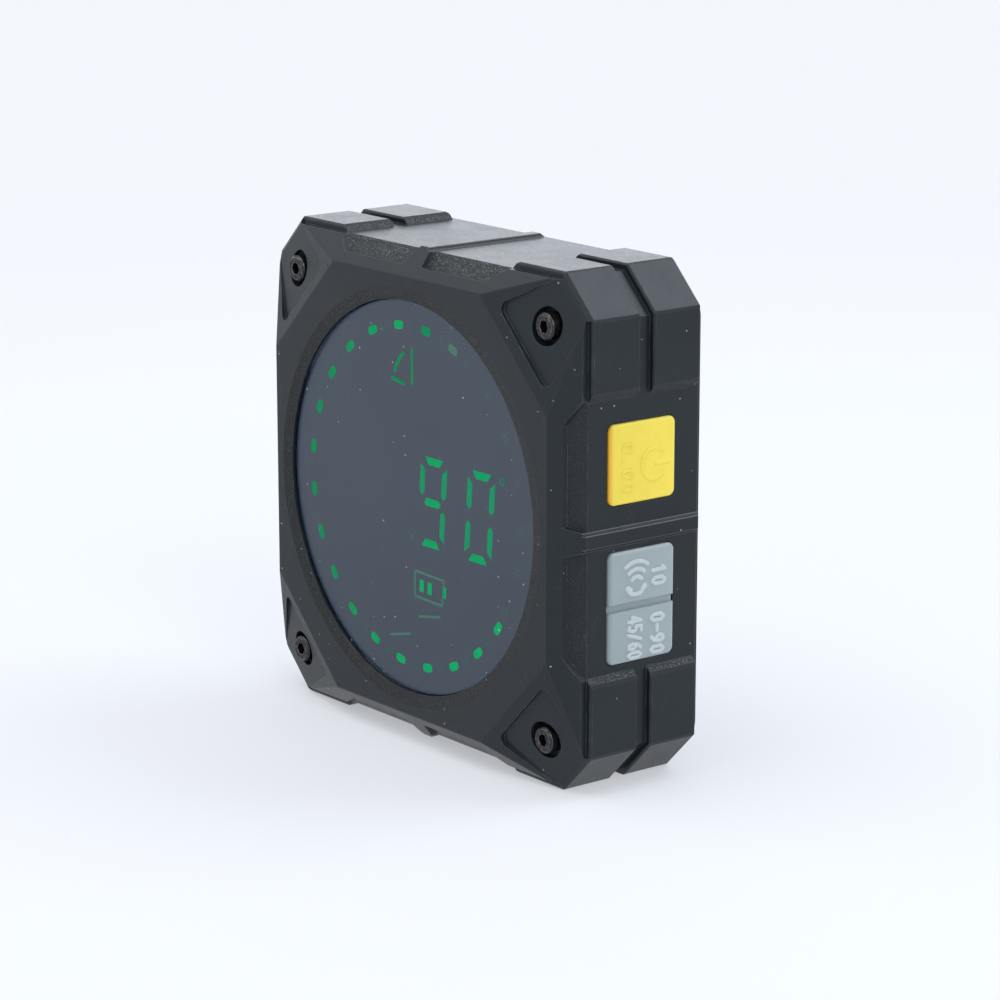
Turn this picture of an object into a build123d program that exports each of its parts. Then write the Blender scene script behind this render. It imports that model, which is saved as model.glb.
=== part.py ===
from build123d import *

import os
from math import sin, radians, sqrt

# Digital angle gauge, 65 x 24 x 65 mm, standing on one of its sides.
# X runs across the dial to the keys, Y runs from the dial to the back, Z is up.
# The origin is under the middle of the case. Depths are measured from the dial face.

os.makedirs("parts", exist_ok=True)

# Overall size
case_width = 65.0            # over the corner bumpers, the same in X and Z
case_depth = 24.0
half = case_width / 2
front_y = -case_depth / 2
centre_z = half
margin = 1.0                 # how far a cutter stands clear of what it cuts

# Outer form
corner_leg = 5.3             # 45 degree cut at each corner of the bumpers
face_inset = 4.0             # raised face's straight sides, in from the case sides
face_corner_leg = 13.2       # 45 degree cut at each corner of the raised face
front_bevel = 3.75           # depth of the slopes round the dial face
back_bevel = 3.2             # depth of the slopes round the back face
edge_depth = 0.55            # small bevel where a corner slope meets the bumper
edge_inset = 0.6
bumper_proud = 0.9           # bumpers over the side faces
bumper_start = 18.1          # middle of a side to the end of a bumper
bumper_end_bevel = 0.95
groove_shift = 0.3           # groove's middle, behind the middle of the depth
groove_width = 2.1           # groove between the front and back bumpers
rib_half = 1.25              # rib across the middle of each side
rib_height = 0.45
rib_bevel = 0.45
bumper_edge = 0.22           # small bevel on the bumpers' outer edges
face_edge_radius = 0.4
rib_edge_radius = 0.15
panel_edge_radius = 0.15

# Spark-eroded panels beside the ribs
panel_inset = 2.7            # panel's inner wall, in from the case side
panel_drop = 0.85            # depth below the slope
panel_rib_inner = 1.9        # panel's end beside the rib, at its inner wall
panel_rib_outer = 1.3
panel_far_inset = 3.7        # panel's far end, short of the bumper
panel_far_outset = 0.7

# Recess round each case screw
recess_near_inset = 4.95     # the two inner corners, in from the case sides
recess_far_inset = 14.3
recess_spread = 0.5          # slope of its two side walls
recess_start_depth = 0.98    # floor at the inner wall
recess_radius = 1.0

# Case screws, M2 socket heads, 16 mm long in this case
screw_inset = 6.6            # screw axis, in from the case sides
counterbore_radius = 2.4
screw_head_radius = 1.7
screw_head_height = 2.0
screw_head_top = 1.5         # depth of the head's top
screw_tip_cover = 4.5        # screw tip to the back face
screw_radius = 1.0
screw_hole_radius = 1.1
screw_tip_room = 0.5
hex_across_flats = 1.5
hex_depth = 1.1
head_edge = 0.25

# Walls and inside form
wall = 2.0
front_wall = 3.0
corner_block_depth = 2.5     # solid corners behind the screw heads
corner_block_leg = 13.2
cavity_chamfer = 1.2
boss_radius = 3.4
cover_boss_reach = 6.6       # cover's bosses beyond its parting face
cover_edge = 2.6             # parting face to the back face

# Window and display
dish_inset = 1.3             # dish, in from the raised face's straight side
dish_width = 1.7
dish_depth = 0.3
window_gap = 0.1
window_depth = 0.7
window_thickness = 1.0
adhesive_thickness = 0.1
adhesive_inset = 0.1
seat_ledge = 1.5
display_edge = 0.3           # display glass, in from the view opening
display_gap = 0.05           # behind the window
glass_thickness = 1.0
contact_ledge_width = 3.9
sheet_thickness = 0.1
guide_inset = 1.3
guide_cut_gap = 0.4
guide_thickness = 2.0
holder_gap = 0.15
holder_lip = 1.25
holder_wall = 2.55
holder_floor = 0.6
strip_length = 14.0
strip_width = 2.0
strip_inset = 0.6            # contact strip, behind the cut of the rear glass
strip_gap = 0.1

# Main board
board_depth = 7.2
board_thickness = 1.2
board_gap = 3.1              # board's straight sides to the inner wall
board_corner_leg = 7.1
post_inset = 4.6             # board screws, in from the case screws
post_radius = 2.2
post_hole_radius = 0.85
board_screw_radius = 0.8
board_screw_length = 5.2
board_screw_head_radius = 1.6
board_screw_head_height = 1.1
board_hole_radius = 0.95

# Pieces on the main board
led_width = 1.6
led_height = 0.8
led_thickness = 0.5
led_spacing = 12.0
header_back = 2.2            # pins that join the two boards, behind the key board
header_z = 2.2
header_pin_count = 4
header_pitch = 2.0
header_width = 2.0
header_stand = 1.0           # pin row over the main board
pin_width = 0.5
pin_hole_width = 0.62
pin_end = 0.3                # pin ends beyond each board
chip_x = -6.0
chip_z = 2.0
chip_width = 7.0
chip_height = 1.4
chip_lead_count = 8
chip_lead_pitch = 0.8
chip_lead_width = 0.35
lead_reach = 1.0
lead_thickness = 0.25
sensor_x = 6.0
sensor_z = 4.0
sensor_width = 3.0
sensor_length = 5.0
sensor_height = 1.0
voice_x = -8.0
voice_z = -9.0
voice_width = 3.9
voice_length = 4.9
voice_height = 1.5
voice_lead_count = 4
voice_lead_pitch = 1.27
voice_lead_width = 0.42

# Keys, on the right-hand side
key_width = 10.45
key_gap = 0.12
key_corner_radius = 0.9
key_proud = 0.3
key_z = 9.0                  # middle of the case to the middle of each key
zero_key_height = 10.05
rocker_key_height = 14.15
key_edge = 0.25
flange_width = 0.8
flange_thickness = 0.8
flange_gap = 0.05
key_peg_radius = 1.2
rocker_thickness = 2.9
rocker_groove_width = 0.95
rocker_groove_depth = 0.5
rocker_arm = 4.4             # pivot to each plunger
pin_inset = 1.3              # pivot, in from the side face
pin_radius = 0.5
pin_running_gap = 0.05
pin_reach = 1.5              # how far the pin goes into the wall

# Key board and its switches
key_board_inset = 4.6        # board's outer face to the inner wall
key_board_thickness = 1.0
key_board_gap = 0.4          # main board to the key board's front edge
key_board_front = 3.35       # board's front edge to the middle of the keys
rail_front = 1.0             # board's front edge to the rails
rail_clear = 0.3             # rails to the cover's tongue
rail_thickness = 1.5
rail_slot = 0.8
rail_gap = 0.05
rail_cheek = 1.6             # rail beyond the board's inner face
upper_rail_z = 15.4
lower_rail_z = 16.5
switch_size = 6.0
switch_corner_radius = 0.6
switch_height = 1.9
switch_bore_radius = 1.7
switch_bore_depth = 1.3
plunger_stand = 2.7          # plunger's end over the key board
plunger_radius = 1.6
plunger_length = 1.5
plunger_nose_radius = 1.1
plunger_nose = 0.8
peg_gap = 0.05

# Charging socket, on the side that the gauge stands on
port_x = 10.0
port_width = 8.94
port_height = 3.26
port_length = 7.3
port_shell = 0.3
port_setback = 0.7
port_opening_gap = 0.33
port_flat = 0.02             # straight part left between the rounded corners
tongue_width = 6.69
tongue_thickness = 0.7
tongue_length = 4.45
port_recess = 1.0            # tongue's end below the shell's mouth

# Magnets in the base side
magnet_radius = 3.0
magnet_thickness = 2.0
magnet_gap = 0.05

# Rear cover
cover_wall = 1.8
cover_pocket_inset = 1.4     # pocket's straight sides, in from the inner wall
cover_pocket_leg = 10.4
cover_tongue_height = 1.5
cover_tongue_wall = 1.2
cover_tongue_gap = 0.1
seal_inset = 0.6
seal_width = 0.9
seal_groove_depth = 0.6
seal_gap = 0.03
insert_radius = 1.6
insert_length = 4.0
insert_gap = 0.02
insert_bore_radius = 1.03
boss_gap = 0.1

# Battery and speaker
battery_x = -4.0
battery_z = 8.5
battery_width = 34.0
battery_height = 22.0
battery_thickness = 5.0
battery_radius = 1.6
pad_inset = 3.0
pad_thickness = 0.8
tray_gap = 0.3
tray_wall = 1.0
tray_height = 3.0
speaker_x = -6.0
speaker_z = -14.0
speaker_radius = 7.5
speaker_thickness = 3.6
speaker_gap = 0.1
speaker_magnet_radius = 4.5
speaker_magnet_thickness = 0.8
speaker_ring_wall = 0.9
speaker_ring_height = 2.6
sound_hole_radius = 0.6
sound_hole_spacing = 2.4

# Values that follow from the ones above
inset_factor = sqrt(2) - 1   # how an equal inset shortens an octagon's sides
bumper_corner = half - corner_leg
corner_sum = half + bumper_corner
side_flat = half - bumper_proud
side_corner = bumper_corner - bumper_proud * inset_factor
inner_flat = side_flat - wall
inner_corner = side_corner - wall * inset_factor
face_flat = half - face_inset
face_corner = face_flat - face_corner_leg
front_slope = face_inset / front_bevel
back_slope = face_inset / back_bevel
back_bevel_start = case_depth - back_bevel
groove_start = case_depth / 2 + groove_shift - groove_width / 2
groove_end = groove_start + groove_width
panel_inner = half - panel_inset
recess_outer = half - recess_near_inset
recess_inner = half - recess_far_inset
screw_position = half - screw_inset
head_seat = screw_head_top + screw_head_height
screw_length = case_depth - screw_tip_cover - head_seat
parting_depth = case_depth - cover_edge
cover_floor = case_depth - cover_wall
corner_block_end = front_wall + corner_block_depth
cover_boss_start = parting_depth - cover_boss_reach
boss_end = cover_boss_start - boss_gap
dish_radius = face_flat - dish_inset
window_hole_radius = dish_radius - dish_width
window_radius = window_hole_radius - window_gap
window_back = window_depth + window_thickness
seat_depth = window_back + adhesive_thickness
view_radius = window_hole_radius - seat_ledge
display_radius = view_radius - display_edge
display_depth = window_back + display_gap
display_back = display_depth + 2 * glass_thickness
contact_ledge = display_radius - contact_ledge_width
guide_radius = display_radius - guide_inset
guide_cut = contact_ledge - guide_cut_gap
guide_depth = display_back + sheet_thickness
holder_seat_radius = display_radius + holder_gap
holder_lip_radius = holder_seat_radius - holder_lip
holder_radius = holder_seat_radius + holder_wall
holder_floor_depth = guide_depth + guide_thickness
strip_centre = contact_ledge + strip_inset + strip_width / 2
board_back = board_depth + board_thickness
board_flat = inner_flat - board_gap
board_corner = board_flat - board_corner_leg
post_position = screw_position - post_inset
key_board_start = board_back + key_board_gap
key_depth = key_board_start + key_board_front
key_face_x = side_flat + key_proud
key_board_face = inner_flat - key_board_inset
key_board_x = key_board_face - key_board_thickness
key_board_end = parting_depth - cover_tongue_height - rail_clear
plunger_top = key_board_face + plunger_stand
flange_outer_x = inner_flat - flange_gap
pin_x = side_flat - pin_inset
pin_half_length = key_width / 2 + key_gap + pin_reach
header_x = key_board_x - header_back
port_depth = board_back + port_height / 2
port_mouth = side_flat - port_setback
row_front = (front_bevel + groove_start) / 2
row_back = (groove_end + back_bevel_start) / 2
magnet_z = (bumper_start + bumper_corner) / 2
battery_back = cover_floor - pad_thickness

turn_axis = Axis((0, 0, centre_z), (0, 1, 0))
diagonal = Plane(origin=(0, front_y, centre_z), x_dir=(1, 0, 1), z_dir=(1, 0, -1))


def facing(depth, x=0.0, z=0.0):
    """Plane parallel to the dial at a depth, looking out of the dial."""
    return Plane(origin=(x, front_y + depth, centre_z + z), x_dir=(1, 0, 0), z_dir=(0, -1, 0))


def facing_right(x, depth=0.0, z=0.0):
    """Plane parallel to the keys' side; its first axis runs into the depth."""
    return Plane(origin=(x, front_y + depth, centre_z + z), x_dir=(0, 1, 0), z_dir=(1, 0, 0))


def facing_down(z, x=0.0, depth=0.0):
    """Plane parallel to the side that the gauge stands on."""
    return Plane(origin=(x, front_y + depth, centre_z + z), x_dir=(1, 0, 0), z_dir=(0, 0, -1))


def across(z=0.0):
    """Level plane for profiles in distance from the middle and depth."""
    return Plane(origin=(0, front_y, centre_z + z), x_dir=(1, 0, 0), z_dir=(0, 0, 1))


def octagon(flat, corner, mode=Mode.ADD):
    """Square with cut corners: sides lie `flat` out and end `corner` from the middle."""
    Polygon(
        (corner, flat), (-corner, flat), (-flat, corner), (-flat, -corner),
        (-corner, -flat), (corner, -flat), (flat, -corner), (flat, corner),
        align=None, mode=mode,
    )


def inset_octagon(inset, mode=Mode.ADD):
    """Octagon that lies inside the side faces by the same inset all round."""
    octagon(side_flat - inset, side_corner - inset * inset_factor, mode=mode)


def on_all_sides(tool):
    """The same cutter, turned to each of the four sides."""
    return [tool.rotate(turn_axis, 90 * side) for side in range(4)]


def finish(builder, name):
    """Label a finished piece and write it."""
    builder.part.label = name
    export_step(builder.part, f"parts/{name}.step")


# Cutters for the outer form, drawn on the right-hand side

with BuildPart() as side_cutter:
    # Side face between the bumpers, leaving the middle rib
    with BuildSketch(facing(0)):
        inner_end = bumper_start - bumper_end_bevel
        end_slope = bumper_end_bevel / bumper_proud
        bevel_end = bumper_start - bumper_edge * end_slope
        outer_end = bumper_start + bumper_edge
        Polygon(
            (side_flat, -rib_half),
            (side_flat + rib_height, rib_bevel - rib_half),
            (side_flat + rib_height, rib_half - rib_bevel),
            (side_flat, rib_half), (side_flat, inner_end),
            (half - bumper_edge, bevel_end), (half, outer_end), (half + margin, outer_end),
            (half + margin, -outer_end), (half, -outer_end), (half - bumper_edge, -bevel_end),
            (side_flat, -inner_end),
            align=None,
        )
    extrude(amount=-case_depth)
    # Step down in front of each bumper and behind it
    for start, length in ((-margin, front_bevel + margin), (back_bevel_start, back_bevel + margin)):
        with BuildSketch(facing(start)):
            for side in (1, -1):
                Polygon(
                    (side_flat, side * inner_end), (side_flat, side * bumper_corner),
                    (half + margin, side * bumper_corner), (half + margin, side * inner_end),
                    align=None,
                )
        extrude(amount=-length)

with BuildPart() as panel_cutter:
    # Panels on both sides of the rib, sunk straight back from the slope
    with BuildSketch(facing(-margin)):
        for side in (1, -1):
            Polygon(
                (panel_inner, side * panel_rib_inner),
                (side_flat, side * panel_rib_outer),
                (side_flat, side * (bumper_start - panel_far_outset)),
                (panel_inner, side * (bumper_start - panel_far_inset)),
                align=None,
            )
    extrude(amount=-(front_bevel + panel_drop + 2 * margin))
    with BuildSketch(across()):
        Polygon(
            (panel_inner, -margin),
            (panel_inner, (panel_inner - face_flat) / front_slope + panel_drop),
            (half, front_bevel + panel_drop),
            (half, -margin),
            align=None,
        )
    extrude(amount=half, both=True, mode=Mode.INTERSECT)

with BuildPart() as recess_cutter:
    # Three-sided recess round a case screw, fading out at the corner
    run = half - recess_inner
    with BuildSketch(facing(-margin)) as recess_outline:
        Polygon(
            (recess_inner, recess_outer), (recess_outer, recess_inner),
            (recess_outer + recess_spread * run, half), (half, recess_outer + recess_spread * run),
            align=None,
        )
        inner_corners = recess_outline.vertices().sort_by(Axis.X)[0:1]
        inner_corners += recess_outline.vertices().sort_by(Axis.Y)[0:1]
        fillet(inner_corners, recess_radius)
    extrude(amount=-(front_bevel + 2 * margin))
    inner_u = (recess_inner + recess_outer) / sqrt(2)
    outer_u = (corner_sum - 2 * edge_inset) / sqrt(2)
    with BuildSketch(diagonal):
        Polygon(
            (inner_u - margin, margin), (inner_u - margin, -recess_start_depth),
            (inner_u, -recess_start_depth), (outer_u, edge_depth - front_bevel),
            (outer_u + margin, edge_depth - front_bevel), (outer_u + margin, margin),
            align=None,
        )
    extrude(amount=half, both=True, mode=Mode.INTERSECT)

# Outer form of the closed case: an octagonal block, its edges planed off all round

with BuildPart() as slope_cutter:
    with BuildSketch(across()):
        Polygon(
            (face_flat - front_slope * margin, -margin),
            (half + front_slope * margin, front_bevel + margin),
            (half + front_slope * margin, -margin),
            align=None,
        )
        Polygon(
            (face_flat - back_slope * margin, case_depth + margin),
            (half + back_slope * margin, back_bevel_start - margin),
            (half + back_slope * margin, case_depth + margin),
            align=None,
        )
    extrude(amount=case_width, both=True)

with BuildPart() as corner_cutter:
    # Long slope down to the corner, then the small bevel before the bumper
    face_u = (face_flat + face_corner) / sqrt(2)
    edge_u = (corner_sum - 2 * edge_inset) / sqrt(2)
    corner_u = corner_sum / sqrt(2)
    edge_slope = (corner_u - edge_u) / edge_depth
    outer_end_u = corner_u + edge_slope * margin
    with BuildSketch(diagonal):
        for face, towards, bevel in ((0, -1, front_bevel), (-case_depth, 1, back_bevel)):
            long_slope = (edge_u - face_u) / (bevel - edge_depth)
            Polygon(
                (face_u - long_slope * margin, face - towards * margin),
                (edge_u, face + towards * (bevel - edge_depth)),
                (corner_u, face + towards * bevel),
                (outer_end_u, face + towards * (bevel + margin)),
                (outer_end_u, face - towards * margin),
                align=None,
            )
    extrude(amount=case_width, both=True)

with BuildPart() as bumper_edge_cutter:
    # Small bevels on the bumpers' outer edges, in front, along the groove and behind
    for plane, outer, run in ((across(), half, 0), (diagonal, corner_u, edge_slope)):
        towards = 1 if plane is not diagonal else -1
        with BuildSketch(plane):
            for start, side in ((front_bevel, 1), (back_bevel_start, -1)):
                foot = start - side * bumper_edge * min(run, 1)
                inner = outer - bumper_edge * max(run, 1)
                Polygon(
                    (inner, towards * foot), (outer, towards * (start + side * bumper_edge)),
                    (outer + margin, towards * (start + side * bumper_edge)),
                    (outer + margin, towards * foot),
                    align=None,
                )
            Polygon(
                (outer - bumper_edge, towards * groove_start),
                (outer, towards * (groove_start - bumper_edge)),
                (outer + margin, towards * (groove_start - bumper_edge)),
                (outer + margin, towards * (groove_end + bumper_edge)),
                (outer, towards * (groove_end + bumper_edge)),
                (outer - bumper_edge, towards * groove_end),
                align=None,
            )
        extrude(amount=case_width, both=True)


def middle_of(edge):
    """Edge's middle as distances from the case's middle, larger first, and its depth."""
    point = edge.center()
    offset, reach = sorted((abs(point.X), abs(point.Z - centre_z)))
    return reach, offset, point.Y - front_y


def edges_where(builder, test):
    """The builder's edges whose middle passes a test of reach, offset and depth."""
    return builder.edges().filter_by(lambda edge: test(*middle_of(edge)))


def same(value, *targets):
    """Whether a size agrees with one of some others to a twentieth of a millimetre."""
    return any(abs(value - target) < 0.05 for target in targets)


def is_rib_edge(reach, offset, depth):
    """The two long edges along the top of each rib."""
    return same(reach, side_flat + rib_height) and same(offset, rib_half - rib_bevel)


def is_slope_edge(reach, offset, depth):
    """Edges of both raised faces and the ridges between the slopes that lead down from them."""
    if same(depth, 0, case_depth):
        return True
    for level, bevel in ((depth, front_bevel), (case_depth - depth, back_bevel)):
        on_side_slope = same(reach, face_flat + face_inset / bevel * level)
        corner_run = (corner_sum - 2 * edge_inset - face_flat - face_corner) / (bevel - edge_depth)
        if on_side_slope and same(reach + offset, face_flat + face_corner + corner_run * level):
            return True
    return False


def is_panel_edge(reach, offset, depth):
    """Top edges of the sunk panels."""
    return same(reach, panel_inner) and same(depth, (panel_inner - face_flat) / front_slope)


with BuildPart() as case_form:
    with BuildSketch(facing(0)) as outline:
        octagon(half, bumper_corner)
        chamfer(outline.vertices(), bumper_edge)
    extrude(amount=-case_depth)
    add(on_all_sides(slope_cutter.part), mode=Mode.SUBTRACT)
    add(on_all_sides(corner_cutter.part), mode=Mode.SUBTRACT)
    with BuildSketch(facing(groove_start)):
        Rectangle(case_width + margin, case_width + margin)
        octagon(side_flat, side_corner, mode=Mode.SUBTRACT)
        Rectangle(case_width + margin, 2 * rib_half, mode=Mode.SUBTRACT)
        Rectangle(2 * rib_half, case_width + margin, mode=Mode.SUBTRACT)
    extrude(amount=-groove_width, mode=Mode.SUBTRACT)
    add(on_all_sides(bumper_edge_cutter.part), mode=Mode.SUBTRACT)
    add(on_all_sides(side_cutter.part), mode=Mode.SUBTRACT)
    add(on_all_sides(panel_cutter.part), mode=Mode.SUBTRACT)
    # Moulded edges
    fillet(edges_where(case_form, is_slope_edge), face_edge_radius)
    fillet(edges_where(case_form, is_rib_edge), rib_edge_radius)
    fillet(edges_where(case_form, is_panel_edge), panel_edge_radius)
    add(on_all_sides(recess_cutter.part), mode=Mode.SUBTRACT)

# Main housing: dial side and all four side walls in one moulding

with BuildPart() as cavity:
    with BuildSketch(facing(corner_block_end)):
        octagon(inner_flat, inner_corner)
    extrude(amount=corner_block_end - parting_depth - margin)
    with BuildSketch(facing(front_wall)):
        octagon(inner_flat, inner_flat - corner_block_leg)
    extrude(amount=front_wall - corner_block_end)
    chamfer(cavity.faces().sort_by(Axis.Y)[0].edges(), cavity_chamfer)
    # Screw bosses and board posts stay standing
    with BuildSketch(facing(front_wall)):
        with GridLocations(2 * screw_position, 2 * screw_position, 2, 2):
            Circle(boss_radius)
    extrude(amount=front_wall - boss_end, mode=Mode.SUBTRACT)
    with BuildSketch(facing(front_wall)):
        with GridLocations(2 * post_position, 2 * post_position, 2, 2):
            Circle(post_radius)
    extrude(amount=front_wall - board_depth, mode=Mode.SUBTRACT)

with BuildPart() as main_housing:
    add(case_form.part)
    split(bisect_by=facing(parting_depth), keep=Keep.TOP)
    add(cavity.part, mode=Mode.SUBTRACT)
    # Dish, window seat and view opening, turned in one profile
    with BuildSketch(across()):
        Polygon(
            (0, -margin), (dish_radius, -margin), (dish_radius, 0),
            (window_hole_radius, dish_depth), (window_hole_radius, seat_depth),
            (view_radius, seat_depth), (view_radius, front_wall + margin),
            (0, front_wall + margin),
            align=None,
        )
    revolve(axis=turn_axis, mode=Mode.SUBTRACT)
    # Counterbores, screw holes and post holes
    with BuildSketch(facing(head_seat)):
        with GridLocations(2 * screw_position, 2 * screw_position, 2, 2):
            Circle(counterbore_radius)
    extrude(amount=head_seat + margin, mode=Mode.SUBTRACT)
    with BuildSketch(facing(boss_end)):
        with GridLocations(2 * screw_position, 2 * screw_position, 2, 2):
            Circle(screw_hole_radius)
    extrude(amount=boss_end - head_seat + margin, mode=Mode.SUBTRACT)
    with BuildSketch(facing(board_depth)):
        with GridLocations(2 * post_position, 2 * post_position, 2, 2):
            Circle(post_hole_radius)
    extrude(amount=board_screw_length, mode=Mode.SUBTRACT)
    # Key openings
    for height, z in ((zero_key_height, key_z), (rocker_key_height, -key_z)):
        with BuildSketch(facing_right(half, key_depth, z)):
            RectangleRounded(
                key_width + 2 * key_gap, height + 2 * key_gap, key_corner_radius + key_gap
            )
        extrude(amount=-(bumper_proud + wall + margin), mode=Mode.SUBTRACT)
    # Bearing slots for the rocker pin, open to the inside
    slot_reach = pin_half_length + pin_running_gap
    with BuildSketch(facing(key_depth - slot_reach, pin_x, -key_z)):
        Circle(pin_radius + pin_running_gap / 2)
        with Locations((-(pin_x - inner_flat + margin) / 2, 0)):
            Rectangle(pin_x - inner_flat + margin, 2 * pin_radius + pin_running_gap)
    extrude(amount=-2 * slot_reach, mode=Mode.SUBTRACT)
    # Rails that hold the key board by its two ends
    rail_start = key_board_start + rail_front
    rail_foot = key_board_x - rail_cheek
    for z, side in ((upper_rail_z, 1), (-lower_rail_z, -1)):
        with BuildSketch(facing(rail_start, z=z)):
            Polygon(
                (rail_foot, 0), (inner_flat + wall / 2, 0),
                (inner_flat + wall / 2, side * rail_thickness), (rail_foot, side * rail_thickness),
                align=None,
            )
            slot_side = key_board_thickness / 2 + rail_gap
            slot_middle = key_board_x + key_board_thickness / 2
            Polygon(
                (slot_middle - slot_side, 0), (slot_middle + slot_side, 0),
                (slot_middle + slot_side, side * rail_slot),
                (slot_middle - slot_side, side * rail_slot),
                align=None, mode=Mode.SUBTRACT,
            )
        extrude(amount=rail_start - key_board_end)
    # Charging opening
    with BuildSketch(facing_down(-half, port_x, port_depth)):
        RectangleRounded(
            port_width + 2 * port_opening_gap, port_height + 2 * port_opening_gap,
            (port_height - port_flat) / 2 + port_opening_gap,
        )
    extrude(amount=-(bumper_proud + wall + margin), mode=Mode.SUBTRACT)
    # Blind magnet pockets in the base side's bumpers
    for depth in (row_front, row_back):
        for z in (magnet_z, -magnet_z):
            with BuildSketch(facing_right(-half, depth, z)):
                Circle(magnet_radius + magnet_gap)
            extrude(amount=magnet_thickness, mode=Mode.SUBTRACT)
    # Groove for the seal in the rear rim
    with BuildSketch(facing(parting_depth)):
        inset_octagon(seal_inset)
        inset_octagon(seal_inset + seal_width, mode=Mode.SUBTRACT)
    extrude(amount=seal_groove_depth, mode=Mode.SUBTRACT)
finish(main_housing, "main_housing")

# Rear cover

with BuildPart() as rear_cover:
    add(case_form.part)
    split(bisect_by=facing(parting_depth), keep=Keep.BOTTOM)
    with BuildSketch(facing(parting_depth)):
        pocket_flat = inner_flat - cover_pocket_inset
        octagon(pocket_flat, pocket_flat - cover_pocket_leg)
    extrude(amount=parting_depth - cover_floor, mode=Mode.SUBTRACT)
    # Tongue that fits inside the housing wall
    tongue_inset = wall + cover_tongue_gap
    with BuildSketch(facing(parting_depth)):
        inset_octagon(tongue_inset)
        inset_octagon(tongue_inset + cover_tongue_wall, mode=Mode.SUBTRACT)
    extrude(amount=cover_tongue_height)
    # Screw bosses with bores for the threaded inserts
    with BuildSketch(facing(cover_boss_start)):
        with GridLocations(2 * screw_position, 2 * screw_position, 2, 2):
            Circle(boss_radius)
        inset_octagon(tongue_inset, mode=Mode.INTERSECT)
    extrude(amount=-cover_boss_reach)
    with BuildSketch(facing(cover_boss_start)):
        with GridLocations(2 * screw_position, 2 * screw_position, 2, 2):
            Circle(insert_radius + insert_gap)
    extrude(amount=-insert_length, mode=Mode.SUBTRACT)
    with BuildSketch(facing(cover_boss_start)):
        with GridLocations(2 * screw_position, 2 * screw_position, 2, 2):
            Circle(screw_hole_radius)
    extrude(amount=cover_boss_start - head_seat - screw_length - screw_tip_room,
            mode=Mode.SUBTRACT)
    # Battery tray
    with BuildSketch(facing(cover_floor, battery_x, battery_z)):
        inner_w = battery_width + 2 * tray_gap
        inner_h = battery_height + 2 * tray_gap
        Rectangle(inner_w + 2 * tray_wall, inner_h + 2 * tray_wall)
        Rectangle(inner_w, inner_h, mode=Mode.SUBTRACT)
    extrude(amount=tray_height)
    # Speaker ring and sound holes
    with BuildSketch(facing(cover_floor, speaker_x, speaker_z)):
        Circle(speaker_radius + speaker_gap + speaker_ring_wall)
        Circle(speaker_radius + speaker_gap, mode=Mode.SUBTRACT)
    extrude(amount=speaker_ring_height)
    with BuildSketch(facing(cover_floor, speaker_x, speaker_z)):
        Circle(sound_hole_radius)
        with PolarLocations(sound_hole_spacing, 6):
            Circle(sound_hole_radius)
    extrude(amount=-(cover_wall + margin), mode=Mode.SUBTRACT)
finish(rear_cover, "rear_cover")

with BuildPart() as housing_seal:
    with BuildSketch(facing(parting_depth)):
        inset_octagon(seal_inset + seal_gap)
        inset_octagon(seal_inset + seal_width - seal_gap, mode=Mode.SUBTRACT)
    extrude(amount=seal_groove_depth)
finish(housing_seal, "housing_seal")

with BuildPart() as cover_screws:
    with BuildSketch(facing(head_seat)):
        with GridLocations(2 * screw_position, 2 * screw_position, 2, 2):
            Circle(screw_head_radius)
    extrude(amount=screw_head_height)
    chamfer(cover_screws.faces().group_by(Axis.Y)[0].edges(), head_edge)
    with BuildSketch(facing(head_seat)):
        with GridLocations(2 * screw_position, 2 * screw_position, 2, 2):
            Circle(screw_radius)
    extrude(amount=-screw_length)
    with BuildSketch(facing(screw_head_top)):
        with GridLocations(2 * screw_position, 2 * screw_position, 2, 2):
            RegularPolygon(hex_across_flats / 2, 6, major_radius=False)
    extrude(amount=-hex_depth, mode=Mode.SUBTRACT)
finish(cover_screws, "cover_screws")

with BuildPart() as threaded_inserts:
    with BuildSketch(facing(cover_boss_start)):
        with GridLocations(2 * screw_position, 2 * screw_position, 2, 2):
            Circle(insert_radius)
            Circle(insert_bore_radius, mode=Mode.SUBTRACT)
    extrude(amount=-insert_length)
finish(threaded_inserts, "threaded_inserts")

with BuildPart() as base_magnets:
    for depth in (row_front, row_back):
        for z in (magnet_z, -magnet_z):
            with BuildSketch(facing_right(-half + magnet_thickness, depth, z)):
                Circle(magnet_radius)
            extrude(amount=magnet_gap - magnet_thickness)
finish(base_magnets, "base_magnets")

# Window and display stack

with BuildPart() as display_window:
    with BuildSketch(facing(window_depth)):
        Circle(window_radius)
    extrude(amount=-window_thickness)
finish(display_window, "display_window")

with BuildPart() as window_adhesive:
    with BuildSketch(facing(window_back)):
        Circle(window_radius - adhesive_inset)
        Circle(view_radius + adhesive_inset, mode=Mode.SUBTRACT)
    extrude(amount=-adhesive_thickness)
finish(window_adhesive, "window_adhesive")


def cut_disc(radius, cut):
    """Disc with its lower side cut off at a distance from its middle."""
    Circle(radius)
    with Locations((0, -cut - radius / 2)):
        Rectangle(2 * radius, radius, mode=Mode.SUBTRACT)


with BuildPart() as display_panel:
    with BuildSketch(facing(display_depth)):
        Circle(display_radius)
    extrude(amount=-glass_thickness)
    with BuildSketch(facing(display_depth + glass_thickness)):
        cut_disc(display_radius, contact_ledge)
    extrude(amount=-glass_thickness)
finish(display_panel, "display_panel")

with BuildPart() as diffuser_sheet:
    with BuildSketch(facing(display_back)):
        cut_disc(guide_radius, guide_cut)
    extrude(amount=-sheet_thickness)
finish(diffuser_sheet, "diffuser_sheet")

with BuildPart() as light_guide:
    with BuildSketch(facing(guide_depth)):
        cut_disc(guide_radius, guide_cut)
    extrude(amount=-guide_thickness)
finish(light_guide, "light_guide")

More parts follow.
